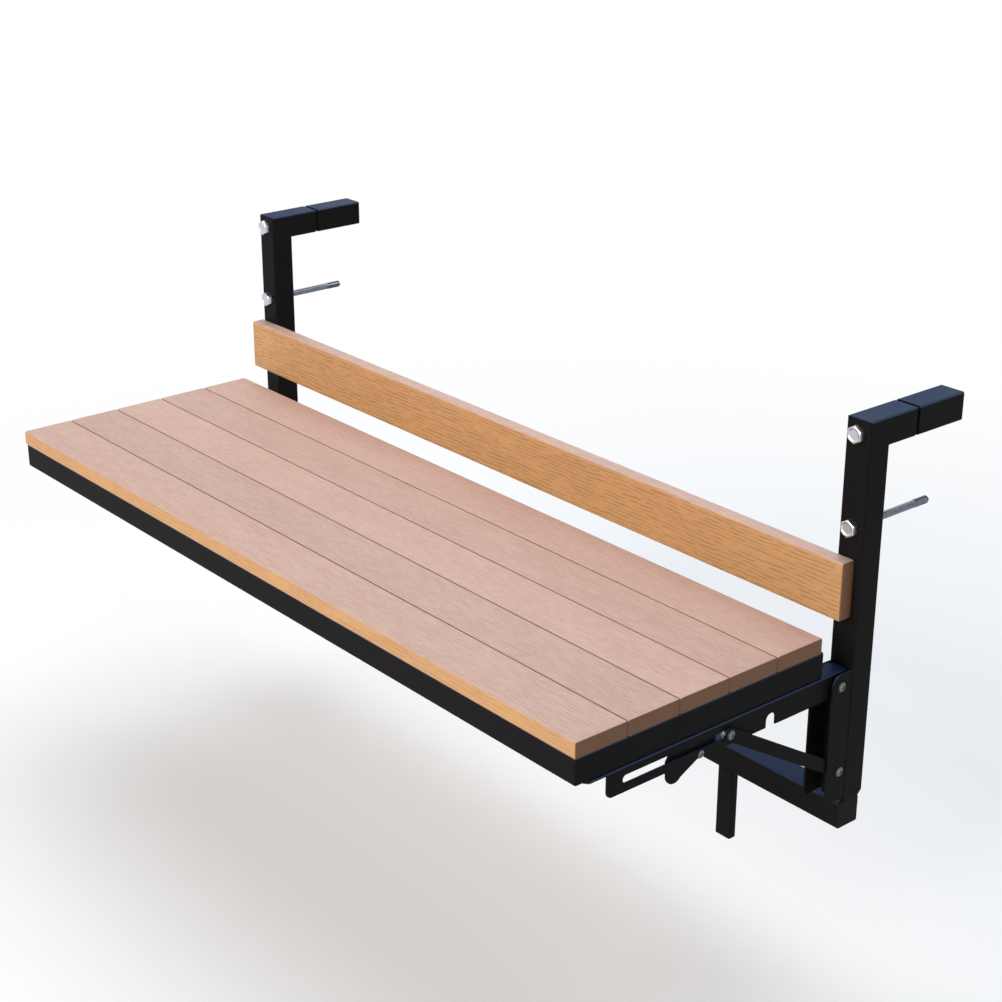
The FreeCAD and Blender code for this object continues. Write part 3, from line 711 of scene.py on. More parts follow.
class Workpiece:
    """A piece on the bench, shaped with Blender's own tools, with its place kept in its mesh."""

    def __init__(self, item: bpy.types.Object, name: str) -> None:
        """Take an object onto the bench.

        Args:
            item: The object.
            name: Its name.
        """
        self.item = item
        self.rename(name)
        self.settle()

    def rename(self, name: str) -> None:
        """Name the object and its mesh."""
        self.item.name = name
        self.item.data.name = name

    def hold(self) -> None:
        """Make this the one selected and active object."""
        deselect()
        self.item.select_set(True)
        bpy.context.view_layer.objects.active = self.item

    def settle(self) -> None:
        """Put the object's place, turn and size into its mesh."""
        self.hold()
        bpy.ops.object.transform_apply(location=True, rotation=True, scale=True)

    @classmethod
    def block(cls, name: str, low: Vector, high: Vector) -> "Workpiece":
        """Start from a block.

        Args:
            name: The piece's name.
            low: The block's lowest corner.
            high: Its highest corner.

        Returns:
            The piece.
        """
        deselect()
        bpy.ops.mesh.primitive_cube_add(size=1, location=(low + high) / 2, scale=high - low)
        return cls(bpy.context.object, name)

    @classmethod
    def drum(cls, name: str, radius: float, start: float, end: float, sides: int = 48) -> "Workpiece":
        """Start from a round or many-sided bar that stands on the bench.

        Args:
            name: The piece's name.
            radius: Its radius to the corners.
            start: The height of its foot.
            end: The height of its top.
            sides: How many sides it has.

        Returns:
            The piece.
        """
        deselect()
        bpy.ops.mesh.primitive_cylinder_add(
            vertices=sides, radius=radius, depth=end - start, location=(0, 0, (start + end) / 2)
        )
        return cls(bpy.context.object, name)

    @classmethod
    def coil(
        cls, name: str, radius: float, section: tuple[float, float], pitch: float, turns: int,
        sides: int, steps: int, start: float = 0.0,
    ) -> "Workpiece":
        """Start from a bar wound round the bench's upward axis, closed at both ends.

        Args:
            name: The piece's name.
            radius: How far the bar's middle is from the axis.
            section: Half the bar's width and half its height.
            pitch: The rise to a turn.
            turns: How many turns it has.
            sides: How many sides the bar has.
            steps: How many steps make a turn.
            start: The height it starts at.

        Returns:
            The piece.
        """
        half_width, half_height = section
        deselect()
        bpy.ops.mesh.primitive_circle_add(
            vertices=sides, radius=half_height, location=(0, 0, start), rotation=(math.pi / 2, 0, 0)
        )
        piece = cls(bpy.context.object, name)
        piece.edit(everything=True)
        bpy.ops.transform.resize(value=(half_width / half_height, 1, 1))
        bpy.ops.transform.translate(value=(radius, 0, 0))
        deselect()
        piece.modify(
            "SCREW", axis="Z", screw_offset=pitch, iterations=turns, steps=steps, render_steps=steps
        )
        piece.edit(everything=True)
        bpy.ops.mesh.remove_doubles(threshold=SEAM)
        bpy.ops.mesh.fill_holes(sides=sides)
        bpy.ops.mesh.select_all(action="SELECT")
        bpy.ops.mesh.normals_make_consistent(inside=False)
        deselect()
        return piece

    @classmethod
    def from_node(cls, name: str, node: str) -> "Workpiece":
        """Start from a merged copy of a solid of the frame.

        Args:
            name: The piece's name.
            node: The solid's node.

        Returns:
            The piece.
        """
        deselect()
        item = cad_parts[node].copy()
        item.data = item.data.copy()
        item.parent = None
        for key in list(item.keys()):
            del item[key]
        bpy.context.scene.collection.objects.link(item)
        piece = cls(item, name)
        piece.edit(everything=True)
        bpy.ops.mesh.remove_doubles(threshold=MERGE)
        bpy.ops.mesh.dissolve_limited(angle_limit=FLAT)
        deselect()
        return piece

    @classmethod
    def sheet(cls, node: str, ending: str = "_sheet", edge: float = 0.35 * MM) -> "Workpiece":
        """Start from a solid of plate or sheet metal, with its sharp edges softened.

        Args:
            node: The solid's node.
            ending: What its name gets behind it.
            edge: The width of its softened edges.

        Returns:
            The piece.
        """
        piece = cls.from_node(node + ending, node)
        return piece.modify(
            "BEVEL", width=edge, segments=2, limit_method="ANGLE", use_clamp_overlap=False
        )

    def edit(self, everything: bool = False) -> None:
        """Enter edit mode.

        Args:
            everything: Whether everything is selected, or nothing.
        """
        self.hold()
        bpy.ops.object.mode_set(mode="EDIT")
        bpy.ops.mesh.select_mode(type="FACE")
        bpy.ops.mesh.select_all(action="SELECT" if everything else "DESELECT")

    def pick_faces(self, test: Test) -> "Workpiece":
        """Select faces in edit mode.

        Args:
            test: What a face's middle and outward way have to pass.

        Returns:
            The piece.
        """
        self.edit()
        mesh = bmesh.from_edit_mesh(self.item.data)
        for face in mesh.faces:
            face.select_set(test(face.calc_center_median(), face.normal))
        bmesh.update_edit_mesh(self.item.data)
        return self

    def pick_edges(self, test: Test) -> "Workpiece":
        """Select edges in edit mode.

        Args:
            test: What an edge's middle and course have to pass.

        Returns:
            The piece.
        """
        self.edit()
        bpy.ops.mesh.select_mode(type="EDGE")
        mesh = bmesh.from_edit_mesh(self.item.data)
        for edge in mesh.edges:
            first, second = (corner.co for corner in edge.verts)
            edge.select_set(test((first + second) / 2, (second - first).normalized()))
        bmesh.update_edit_mesh(self.item.data)
        return self

    def bevel(self, width: float, segments: int) -> "Workpiece":
        """Round the selected edges.

        Args:
            width: The width of the rounding.
            segments: How many flats make it.

        Returns:
            The piece.
        """
        bpy.ops.mesh.bevel(
            offset=width, offset_type="OFFSET", segments=segments, profile=0.5, affect="EDGES"
        )
        deselect()
        return self

    def inset(self, border: float, rise: float = 0.0) -> "Workpiece":
        """Draw the selected faces in, and raise or sink them.

        Args:
            border: How far in.
            rise: How far up; less than 0 sinks them.

        Returns:
            The piece.
        """
        bpy.ops.mesh.inset(thickness=border, depth=rise)
        deselect()
        return self

    def modify(self, kind: str, **settings: object) -> "Workpiece":
        """Add a modifier and apply it.

        Args:
            kind: The modifier's type.
            settings: Its settings.

        Returns:
            The piece.
        """
        self.hold()
        modifier = self.item.modifiers.new(kind.title(), kind)
        for key, value in settings.items():
            setattr(modifier, key, value)
        bpy.ops.object.modifier_apply(modifier=modifier.name)
        return self

    def cut_to(self, other: "Workpiece", keep: Keep) -> "Workpiece":
        """Cut the piece along another piece's faces, which uses the other up.

        Args:
            other: The other piece.
            keep: Which part of this piece stays.

        Returns:
            The piece.
        """
        self.modify("BOOLEAN", operation=keep.value, solver="EXACT", object=other.item)
        bpy.data.objects.remove(other.item)
        return self

    def join(self, *others: "Workpiece") -> "Workpiece":
        """Join other pieces into this one.

        Args:
            others: The other pieces.

        Returns:
            The piece.
        """
        self.hold()
        for other in others:
            other.item.select_set(True)
        bpy.ops.object.join()
        return self

    def copy(self, name: str) -> "Workpiece":
        """Copy the piece with its own mesh.

        Args:
            name: The copy's name.

        Returns:
            The copy.
        """
        self.hold()
        bpy.ops.object.duplicate(linked=False)
        return Workpiece(bpy.context.object, name)

    def turn(self, angle: float, pivot: Vector) -> "Workpiece":
        """Turn the piece about an axis along X.

        Args:
            angle: How far, in degrees.
            pivot: A place on the axis.

        Returns:
            The piece.
        """
        there = Matrix.Translation(pivot)
        turned = Matrix.Rotation(math.radians(angle), 4, "X")
        self.item.matrix_world = there @ turned @ there.inverted()
        self.settle()
        return self

    def place(self, at: Vector, way: Vector) -> "Workpiece":
        """Stand the piece at a place, with the bench's upward way turned to another.

        Args:
            at: Where the bench's middle goes.
            way: Where the bench's upward way goes.

        Returns:
            The piece.
        """
        turned = way.to_track_quat("Z", "Y").to_matrix().to_4x4()
        self.item.matrix_world = Matrix.Translation(at) @ turned
        self.settle()
        return self

    def dress(self, finish: Material) -> "Workpiece":
        """Give the whole piece one finish.

        Args:
            finish: Its material.

        Returns:
            The piece.
        """
        self.item.data.materials.clear()
        self.item.data.materials.append(finish)
        return self

    def stain(self, finish: Material) -> "Workpiece":
        """Give the faces selected in edit mode a finish of their own.

        Args:
            finish: Their material.

        Returns:
            The piece.
        """
        slots = self.item.data.materials
        slots.append(finish)
        self.item.active_material_index = len(slots) - 1
        bpy.ops.object.material_slot_assign()
        deselect()
        return self

    def fit(self, body: str, slot: Slot, *nodes: str, smooth: float = 32.0) -> None:
        """Smooth the piece and hang it on its body.

        Args:
            body: The body that it rides on.
            slot: The record's material slot; not used.
            nodes: The frame's nodes that it stands for.
            smooth: The angle, in degrees, above which an edge stays sharp.
        """
        self.hold()
        bpy.ops.object.shade_smooth_by_angle(angle=math.radians(smooth))
        self.modify("WEIGHTED_NORMAL", mode="FACE_AREA", weight=50, keep_sharp=True)
        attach(self.item, body)
        if nodes:
            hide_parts(*nodes)
        log.info("made %s on %s", self.item.name, body)


def coat_node(node: str, finish: Material) -> None:
    """Give a solid of the frame its finish.

    Args:
        node: The solid's node.
        finish: Its material.
    """
    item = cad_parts[node]
    if not item.material_slots:
        item.data.materials.append(finish)
    for slot in item.material_slots:
        slot.material = finish
    log.info("coated %s", node)


def middle_of(node: str) -> Vector:
    """The middle of a node's box."""
    low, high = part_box(node)
    return (low + high) / 2


@dataclass
class Board:
    """A board with its edges rounded, most of all round its pressed face."""

    node: str
    body: str
    lie: Lie
    shift: float
    tone: float
    spread: tuple[float, float] = (0.0, 0.0)
    side_grain: float = 0.22
    round_over: float = 2.2 * MM
    back_edge: float = 1.1 * MM
    smooth: float = 40.0

    def build(self, wood: PressedWood) -> None:
        """Model the board where the frame has it, and dress it.

        Args:
            wood: The boards' finish.
        """
        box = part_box(self.node)
        box[0].y -= self.spread[0]
        box[1].y += self.spread[1]
        board = Workpiece.block(self.node + "_board", *box)
        axis, end = self.lie.value
        shown = at_level(axis, box[end][axis])
        corner = along(axis)
        board.pick_edges(lambda at, way: shown(at, way) or corner(at, way)).bevel(self.round_over, 5)
        board.pick_edges(at_level(axis, box[1 - end][axis])).bevel(self.back_edge, 2)
        finish = wood.material("pressed_wood_" + self.node, self.shift, self.tone, self.side_grain)
        board.dress(finish).fit(self.body, Slot.WOOD, self.node, smooth=self.smooth)


@dataclass(frozen=True)
class Screw:
    """A hex head screw with a washer face, modelled standing on its head's bearing face."""

    flats: float = 8.0 * MM
    head: float = 3.0 * MM
    chamfer: float = 0.35 * MM
    washer: float = 0.9 * MM
    washer_radius: float = 5.4 * MM
    washer_slope: float = 1.1 * MM
    shank_radius: float = 2.0 * MM

    def build(self, name: str, grip: float) -> Workpiece:
        """Model one screw, head up.

        Args:
            name: Its name.
            grip: The length of its shank.

        Returns:
            The screw, with its bearing face at height 0.
        """
        head = Workpiece.drum(name, self.flats / math.sqrt(3), self.washer / 2, self.head, sides=6)
        head.pick_edges(at_level(Z, self.head)).bevel(self.chamfer, 2)
        washer = Workpiece.drum(name + "_washer", self.washer_radius, 0, self.washer / 2, sides=32)
        washer.pick_faces(looks_up).inset(self.washer_slope, self.washer / 2)
        shank = Workpiece.drum(name + "_shank", self.shank_radius, -grip, OVERLAP, sides=12)
        return head.join(washer, shank)


def set_screws(name: str, places: Sequence[Vector], way: Vector, grip: float) -> Workpiece:
    """Set copies of one screw at several places.

    Args:
        name: The set's name.
        places: Where each screw's bearing face is.
        way: The way the heads point.
        grip: The length of the shanks.

    Returns:
        The screws, joined.
    """
    master = Screw().build(name, grip)
    copies = [master.copy(f"{name}_{index}").place(at, way) for index, at in enumerate(places[1:])]
    return master.place(places[0], way).join(*copies)


@dataclass
class TubeFrame:
    """The four rails under the slats, welded into one frame and ground smooth at its corners."""

    body: str
    nodes: tuple[str, ...] = ("front_rail", "rear_rail", "rail_left", "rail_right")
    tube: float = 20.0 * MM
    corner: float = 3.0 * MM
    edge: float = 2.7 * MM
    inner_edge: float = 1.0 * MM

    def build(self, coat: Material) -> None:
        """Model the frame where the rails are.

        Args:
            coat: Its finish.
        """
        corners = [corner for node in self.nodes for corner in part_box(node)]
        low = Vector([min(corner[axis] for corner in corners) for axis in range(3)])
        high = Vector([max(corner[axis] for corner in corners) for axis in range(3)])

        def depth(at: Vector) -> float:
            """How far a place lies inside the frame's outline."""
            return min(at.x - low.x, high.x - at.x, at.y - low.y, high.y - at.y)

        welded = Workpiece.block("tube_frame", low, high)
        welded.pick_edges(along(Z)).bevel(self.corner, 5)
        welded.pick_edges(lies_level).bevel(self.edge, 4)
        border = Vector((self.tube, self.tube, -self.tube))
        welded.cut_to(Workpiece.block("frame_opening", low + border, high - border), Keep.OUTSIDE)
        welded.pick_edges(lambda at, way: lies_level(at, way) and depth(at) > self.tube - NEAR)
        welded.bevel(self.inner_edge, 2)
        welded.dress(coat).fit(self.body, Slot.STEEL, *self.nodes)


@dataclass
class SlattedTop:
    """The slatted top with its tube frame, carrying straps and screws."""

    finishes: Finishes
    body: str = "tabletop"
    tones: tuple[float, ...] = (1.0, 0.95, 1.03, 0.97, 1.01)
    grain_step: float = 2.37
    swell: float = 1.0 * MM
    straps: int = 4
    strap_edge: float = 0.4 * MM

    def build(self) -> None:
        """Model the slats, the frame, the straps and the screws."""
        for index, tone in enumerate(self.tones, start=1):
            spread = (self.swell if index > 1 else 0.0, self.swell if index < len(self.tones) else 0.0)
            slat = Board(f"slat_{index}", self.body, Lie.FLAT, index * self.grain_step, tone, spread)
            slat.build(self.finishes.wood)
        TubeFrame(self.body).build(self.finishes.coat)
        for index in range(1, self.straps + 1):
            node = f"support_strap_{index}"
            strap = Workpiece.sheet(node, "_bar", self.strap_edge)
            strap.dress(self.finishes.coat).fit(self.body, Slot.STEEL, node)
        self.screws()

    def screws(self) -> None:
        """Model the screws that hold the slats, from below."""
        low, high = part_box("slat_screws")
        bearing = low.z + Screw().head
        places = [
            Vector((middle_of(f"support_strap_{strap}").x, middle_of(f"slat_{slat}").y, bearing))
            for strap in range(1, self.straps + 1)
            for slat in range(1, len(self.tones) + 1)
        ]
        screws = set_screws("slat_screw_heads", places, Vector((0, 0, -1)), high.z - bearing)
        screws.dress(self.finishes.zinc).fit(self.body, Slot.ZINC, "slat_screws")


@dataclass(frozen=True)
class FlangeBolt:
    """A hex flange bolt, modelled head up with its flange's bearing face at height 0."""

    shank: float
    plain: float
    shank_radius: float
    flats: float = 19.0 * MM
    head: float = 7.6 * MM
    chamfer: float = 1.2 * MM
    chamfer_reach: float = 1.01
    crown: float = 0.9
    rim: float = 0.5 * MM
    middle: float = 0.5 * MM
    dish_slope: float = 1.9 * MM
    dish_depth: float = 0.9 * MM
    flange: float = 0.9 * MM
    flange_rim: float = 0.45
    flange_radius: float = 9.4 * MM
    flange_slope: float = 2.4 * MM
    flange_edge: float = 0.2 * MM
    pitch: float = 1.5 * MM
    ridge: float = 0.46
    root_radius: float = 4.2 * MM
    crest_radius: float = 4.92 * MM
    tip: float = 1.2 * MM
    tip_slope: float = 0.9 * MM
    smooth: float = 25.0

    def build_head(self, finishes: Finishes) -> Workpiece:
        """Model the chamfered, dished hex head on its sloped flange.

        Args:
            finishes: The shared finishes.

        Returns:
            The head, dressed.
        """

        def is_floor(at: Vector, way: Vector) -> bool:
            """Tell whether a face is the one that looks up in the middle of the head."""
            return looks_up(at, way) and at.xy.length < self.middle

        top = self.flange + self.head
        corner = self.flats / math.sqrt(3)
        reach = corner * self.chamfer_reach
        cone = Workpiece.drum("head_chamfer", reach, 0, top - self.chamfer, sides=72)
        cone.pick_faces(looks_up).inset(reach - self.flats / 2 * self.crown, self.chamfer)
        head = Workpiece.drum("hex_head", corner, self.flange / 2, top + self.chamfer, sides=6)
        head.cut_to(cone, Keep.INSIDE)
        head.pick_faces(looks_up).inset(self.rim)
        head.pick_faces(is_floor).inset(self.dish_slope, -self.dish_depth)
        head.dress(finishes.zinc).pick_faces(is_floor).stain(finishes.dish)
        flange = Workpiece.drum("flange", self.flange_radius, 0, self.flange * self.flange_rim, sides=64)
        flange.pick_faces(looks_up).inset(self.flange_slope, self.flange * (1 - self.flange_rim))
        outer = self.flange_radius - self.flange_edge
        flange.pick_edges(lambda at, way: lies_level(at, way) and at.xy.length > outer)
        return head.join(flange.bevel(self.flange_edge, 2).dress(finishes.zinc))

    def build_thread(self) -> Workpiece:
        """Model the rolled thread as one ridge wound round its core.

        Returns:
            The ridge.
        """
        return Workpiece.coil(
            "thread_ridge", self.root_radius,
            section=(self.crest_radius - self.root_radius, self.pitch * self.ridge),
            pitch=self.pitch, turns=int((self.shank - self.plain - self.tip) / self.pitch),
            sides=4, steps=24, start=self.tip - self.shank,
        )

    def build(self, finishes: Finishes) -> Workpiece:
        """Model the whole bolt, head up.

        Args:
            finishes: The shared finishes.

        Returns:
            The bolt, dressed, with its flange's bearing face at height 0.
        """
        shank = Workpiece.drum("plain_shank", self.shank_radius, -self.plain, OVERLAP)
        foot = self.tip - self.shank
        core = Workpiece.drum("thread_core", self.root_radius, foot, OVERLAP - self.plain)
        core.pick_faces(lambda at, way: way.z < -STRAIGHT).inset(self.tip_slope, self.tip)
        shank.join(core, self.build_thread()).dress(finishes.shank)
        return self.build_head(finishes).join(shank)


@dataclass(frozen=True)
class Rivet:
    """A domed rivet head with a dimple, modelled head up with its bearing face at height 0."""

    radius: float
    height: float
    shank_radius: float
    shank: float
    rim: float = 0.7 * MM
    dimple: float = 1.1 * MM
    dome_steps: tuple[tuple[float, float], ...] = ((0.18, 0.5), (0.18, 0.35), (0.14, 0.15))
    dimple_steps: tuple[tuple[float, float], ...] = ((0.08, 0.45), (0.14, 0.55))

    def build(self, name: str) -> Workpiece:
        """Model one rivet.

        Args:
            name: Its name.

        Returns:
            The rivet.
        """
        head = Workpiece.drum(name, self.radius, 0, self.rim)
        for border, lift in self.dome_steps:
            head.pick_faces(looks_up).inset(self.radius * border, (self.height - self.rim) * lift)
        for border, drop in self.dimple_steps:
            head.pick_faces(looks_up).inset(self.radius * border, -self.dimple * drop)
        shank = Workpiece.drum(name + "_shank", self.shank_radius, -self.shank, OVERLAP, sides=32)
        return head.join(shank)

    def place_at(self, node: str, side: Side) -> Vector:
        """Find where the bearing face of a rivet of a node goes.

        Args:
            node: The node.
            side: The end of the table.

        Returns:
            The place, with the rivet's head flush with the node's outer end.
        """
        low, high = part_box(node)
        at = middle_of(node)
        at.x = (high.x if side is Side.RIGHT else low.x) - side.value * self.height
        return at


@dataclass
class PivotFittings:
    """Every rivet and pin that the folding parts turn on."""

    finishes: Finishes
    pivot_pin: Rivet = Rivet(radius=6.3 * MM, height=2.3 * MM, shank_radius=3.5 * MM, shank=35.0 * MM)
    strut_pin: Rivet = Rivet(radius=6.0 * MM, height=2.3 * MM, shank_radius=2.4 * MM, shank=2.5 * MM)
    latch_rivet: Rivet = Rivet(radius=5.0 * MM, height=1.8 * MM, shank_radius=2.45 * MM, shank=10.0 * MM)

    def pair(self, name: str, node: str, body: str, rivet: Rivet) -> None:
        """Set one rivet on each side, heads outwards, and join the two.

        Args:
            name: The pair's name.
            node: The node that holds both.
            body: The body that it rides on.
            rivet: The rivet.
        """
        left = rivet.build(name)
        right = left.copy(name + "_right")
        for piece, side in ((left, Side.LEFT), (right, Side.RIGHT)):
            piece.place(rivet.place_at(node, side), Vector((side.value, 0, 0)))
        left.join(right).dress(self.finishes.rivet).fit(body, Slot.ZINC, node)

    def build(self) -> None:
        """Model the pivot pins, strut pins and latch rivets, one of each kind and its copies."""
        self.pair("top_pivot_rivets", "top_pivot_pins", "hanger", self.pivot_pin)
        self.pair("lower_pivot_rivets", "lower_pivot_pins", "hanger", self.pivot_pin)
        left = self.strut_pin.build("strut_pin_left_rivet")
        right = left.copy("strut_pin_right_rivet")
        for piece, side in ((left, Side.LEFT), (right, Side.RIGHT)):
            node = "strut_pin_" + side.word
            piece.place(self.strut_pin.place_at(node, side), Vector((side.value, 0, 0)))
            piece.dress(self.finishes.rivet).fit(f"strut_{side.word}_body", Slot.ZINC, node)
        self.pair("latch_rivet_heads", "latch_rivets", "tabletop", self.latch_rivet)


@dataclass
class Cap:
    """A moulded cap in the end of a tube: a rounded face and a plug."""

    node: str
    body: str
    axis: int
    outwards: int
    face: float = 2.0 * MM
    corner: float = 2.5 * MM
    edge: float = 0.7 * MM
    wall: float = 2.2 * MM

    def build(self, plastic: Material) -> None:
        """Model the cap where the frame has it.

        Args:
            plastic: Its finish.
        """
        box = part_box(self.node)
        end = 1 if self.outwards > 0 else 0
        shown = box[end][self.axis]
        joint = shown - self.outwards * self.face
        face_box = [corner.copy() for corner in box]
        face_box[1 - end][self.axis] = joint
        plug_box = [corner.copy() for corner in box]
        plug_box[end][self.axis] = joint
        for axis in range(3):
            if axis != self.axis:
                plug_box[0][axis] += self.wall
                plug_box[1][axis] -= self.wall
        cap = Workpiece.block(self.node + "_cap", *face_box)
        cap.pick_edges(along(self.axis)).bevel(self.corner, 5)
        cap.pick_edges(at_level(self.axis, shown)).bevel(self.edge, 3)
        cap.join(Workpiece.block("plug", *plug_box))
        cap.dress(plastic).fit(self.body, Slot.PLASTIC, self.node)


@dataclass
class Hanger:
    """The hooked uprights, cross tube, hinge channels and rear board."""

    finishes: Finishes
    body: str = "hanger"
    board_shift: float = 19.3
    board_grain: float = 0.46
    board_round_over: float = 3.8 * MM
    stub_corner: float = 2.0 * MM
    weld_end: float = 1.2 * MM
    weld_radius: float = 0.96
    weld_ripple: float = 0.36
    ripple_length: float = 1.5
    ripple_edge: float = 0.5

    def build(self) -> None:
        """Dress the hanger's pieces on both sides, and what joins them."""
        coat = self.finishes.coat
        coat_node("crossbar", coat)
        board = Board(
            "backboard", self.body, Lie.UPRIGHT, self.board_shift, tone=1.0,
            side_grain=self.board_grain, round_over=self.board_round_over,
        )
        board.build(self.finishes.wood)
        for side in Side:
            word = side.word
            for node in ("upright_", "arm_tube_", "arm_sleeve_", "arm_spigot_"):
                coat_node(node + word, coat)
            coat_node("nut_plate_" + word, self.finishes.zinc)
            channel = "hinge_channel_" + word
            Workpiece.sheet(channel).dress(coat).fit(self.body, Slot.STEEL, channel)
            for cap in (
                Cap("arm_end_cap_" + word, "arm_extension_" + word, axis=Y, outwards=1),
                Cap("crossbar_cap_" + word, self.body, axis=X, outwards=side.value),
                Cap("stub_cap_" + word, self.body, axis=Z, outwards=-1, corner=self.stub_corner),
            ):
                cap.build(self.finishes.plastic)
            self.stub("stub_leg_" + word)
        self.screws()
        self.welds()

    def stub(self, node: str) -> None:
        """Model one stub leg with rounded edges.

        Args:
            node: The leg's node.
        """
        stub = Workpiece.block(node + "_tube", *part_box(node))
        stub.pick_edges(along(Z)).bevel(self.stub_corner, 4)
        stub.dress(self.finishes.coat).fit(self.body, Slot.STEEL, node)

    def screws(self) -> None:
        """Model the screws that hold the rear board, inside the uprights."""
        low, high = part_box("backboard_screws")
        bearing = high.y - Screw().head
        heights = (low.z + Screw().flats / 2, high.z - Screw().flats / 2)
        places = [
            Vector((middle_of("upright_" + side.word).x, bearing, height))
            for side in Side
            for height in heights
        ]
        screws = set_screws("board_screw_heads", places, Vector((0, 1, 0)), bearing - low.y)
        screws.dress(self.finishes.zinc).fit(self.body, Slot.ZINC, "backboard_screws")

    def welds(self) -> None:
        """Model the rippled weld bead at the foot of each upright, as overlapping coins."""
        low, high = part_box("weld_beads")
        radius = high.z - low.z
        ripple = radius * self.weld_ripple
        coin_length = ripple * self.ripple_length
        starts = [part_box("upright_" + side.word)[0].x + self.weld_end for side in Side]
        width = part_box("upright_left")[1].x - starts[0] - self.weld_end
        steps = int((width - coin_length) / ripple)
        bead = Workpiece.drum("weld_bead_pair", radius * self.weld_radius, 0, coin_length, sides=20)
        bead.pick_edges(lies_level).bevel(ripple * self.ripple_edge, 2)
        bead.modify(
            "ARRAY", count=steps + 1, use_relative_offset=False, use_constant_offset=True,
            constant_offset_displace=(0, 0, (width - coin_length) / steps),
        )
        other = bead.copy("weld_bead_right")
        for piece, start in zip((bead, other), starts):
            piece.place(Vector((start, high.y, low.z)), Vector((1, 0, 0)))
        bead.join(other).dress(self.finishes.coat).fit(self.body, Slot.STEEL, "weld_beads")


@dataclass
class FoldingGear:
    """The slotted brackets, struts, sliding bushes and latch levers."""

    finishes: Finishes
    lever_droop: float = 2.4
    wire: float = 0.3 * MM
    wire_end: float = 0.3
    coil_radius: float = 3.6 * MM
    coil_pitch: float = 0.62 * MM
    coil_turns: int = 2
    coil_steps: int = 28
    wire_sides: int = 8
    anchor: tuple[float, float] = (-325.0 * MM, -200.5 * MM)
    anchor_reach: float = 3.3 * MM
    lever_leg: tuple[float, float] = (7.0 * MM, -6.0 * MM)

    def build(self) -> None:
        """Dress the gear on both sides."""
        for side in Side:
            word = side.word
            for node, body in (
                ("side_bracket_" + word, "tabletop"),
                ("strut_" + word, f"strut_{word}_body"),
                ("latch_lever_" + word, f"latch_{word}_body"),
            ):
                sheet = Workpiece.sheet(node)
                if node.startswith("latch_lever"):
                    sheet.turn(self.lever_droop, middle_of("latch_rivets"))
                sheet.dress(self.finishes.coat).fit(body, Slot.STEEL, node)
            coat_node("slot_slider_" + word, self.finishes.zinc)
            self.spring(side)
        self.screws()

    def spring(self, side: Side) -> None:
        """Wind a latch's torsion spring, one leg on the lever and one through the bracket.

        Args:
            side: The end of the table.
        """
        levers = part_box("latch_lever_" + side.word)
        lever_face = max(abs(corner.x) for corner in levers)
        pivot = middle_of("latch_rivets")
        outwards = Vector((side.value, 0, 0))
        start = Vector(((lever_face + self.wire) * side.value, pivot.y, pivot.z))
        end = start + outwards * self.coil_pitch * self.coil_turns
        spring = Workpiece.coil(
            "latch_spring_" + side.word, self.coil_radius, section=(self.wire, self.wire),
            pitch=self.coil_pitch, turns=self.coil_turns, sides=self.wire_sides, steps=self.coil_steps,
        )
        spring.place(start, outwards)
        below = Vector((0, 0, -self.coil_radius))
        anchor = Vector((end.x, *self.anchor))
        rest = Vector((start.x, pivot.y + self.lever_leg[0], pivot.z + self.lever_leg[1]))
        legs = [
            self.leg(end + below, anchor),
            self.leg(anchor - outwards * self.wire, anchor + outwards * self.anchor_reach),
            self.leg(start + below, rest),
        ]
        spring.join(*legs).dress(self.finishes.shank).fit("tabletop", Slot.ZINC)

    def leg(self, start: Vector, end: Vector) -> Workpiece:
        """Model a straight length of spring wire.

        Args:
            start: One end of it.
            end: The other end.

        Returns:
            The wire.
        """
        course = end - start
        wire = Workpiece.drum("spring_leg", self.wire, 0, course.length, self.wire_sides)
        wire.pick_edges(lies_level).bevel(self.wire * self.wire_end, 1)
        return wire.place(start, course.normalized())

    def screws(self) -> None:
        """Model the screws that hold the brackets' flanges."""
        low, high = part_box("bracket_screws")
        bearing = low.z + Screw().head
        inset = Screw().flats / math.sqrt(3)
        rows = (low.y + Screw().flats / 2, (low.y + high.y) / 2, high.y - Screw().flats / 2)
        places = [Vector((side.value * (high.x - inset), row, bearing)) for side in Side for row in rows]
        screws = set_screws("bracket_screw_heads", places, Vector((0, 0, -1)), high.z - bearing)
        screws.dress(self.finishes.zinc).fit("tabletop", Slot.ZINC, "bracket_screws")


@dataclass
class ClampBolts:
    """The two bolts that draw each arm in and the two that clamp the railing."""

    finishes: Finishes
    upper: FlangeBolt = FlangeBolt(shank=80.0 * MM, plain=40.0 * MM, shank_radius=4.9 * MM)
    lower: FlangeBolt = FlangeBolt(shank=133.0 * MM, plain=108.0 * MM, shank_radius=4.7 * MM)

    def build(self) -> None:
        """Model one bolt of each kind, and set one of each in either upright, heads to the front."""
        kinds = (("upper_bolt_", self.upper), ("lower_bolt_", self.lower))
        left = [(row, bolt, bolt.build(self.finishes)) for row, bolt in kinds]
        right = [(row, bolt, piece.copy(row + "right")) for row, bolt, piece in left]
        for side, bolts in ((Side.LEFT, left), (Side.RIGHT, right)):
            for row, bolt, piece in bolts:
                self.set_bolt(piece, row + side.word, bolt)

    def set_bolt(self, piece: Workpiece, node: str, bolt: FlangeBolt) -> None:
        """Set one bolt where the frame has it.

        Args:
            piece: The modelled bolt.
            node: The bolt's node.
            bolt: Its sizes.
        """
        at = middle_of(node)
        at.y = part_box(node)[0].y + bolt.head + bolt.flange
        piece.rename(node + "_hardware")
        piece.place(at, Vector((0, -1, 0)))
        piece.fit(node + "_body", Slot.ZINC, node, smooth=bolt.smooth)


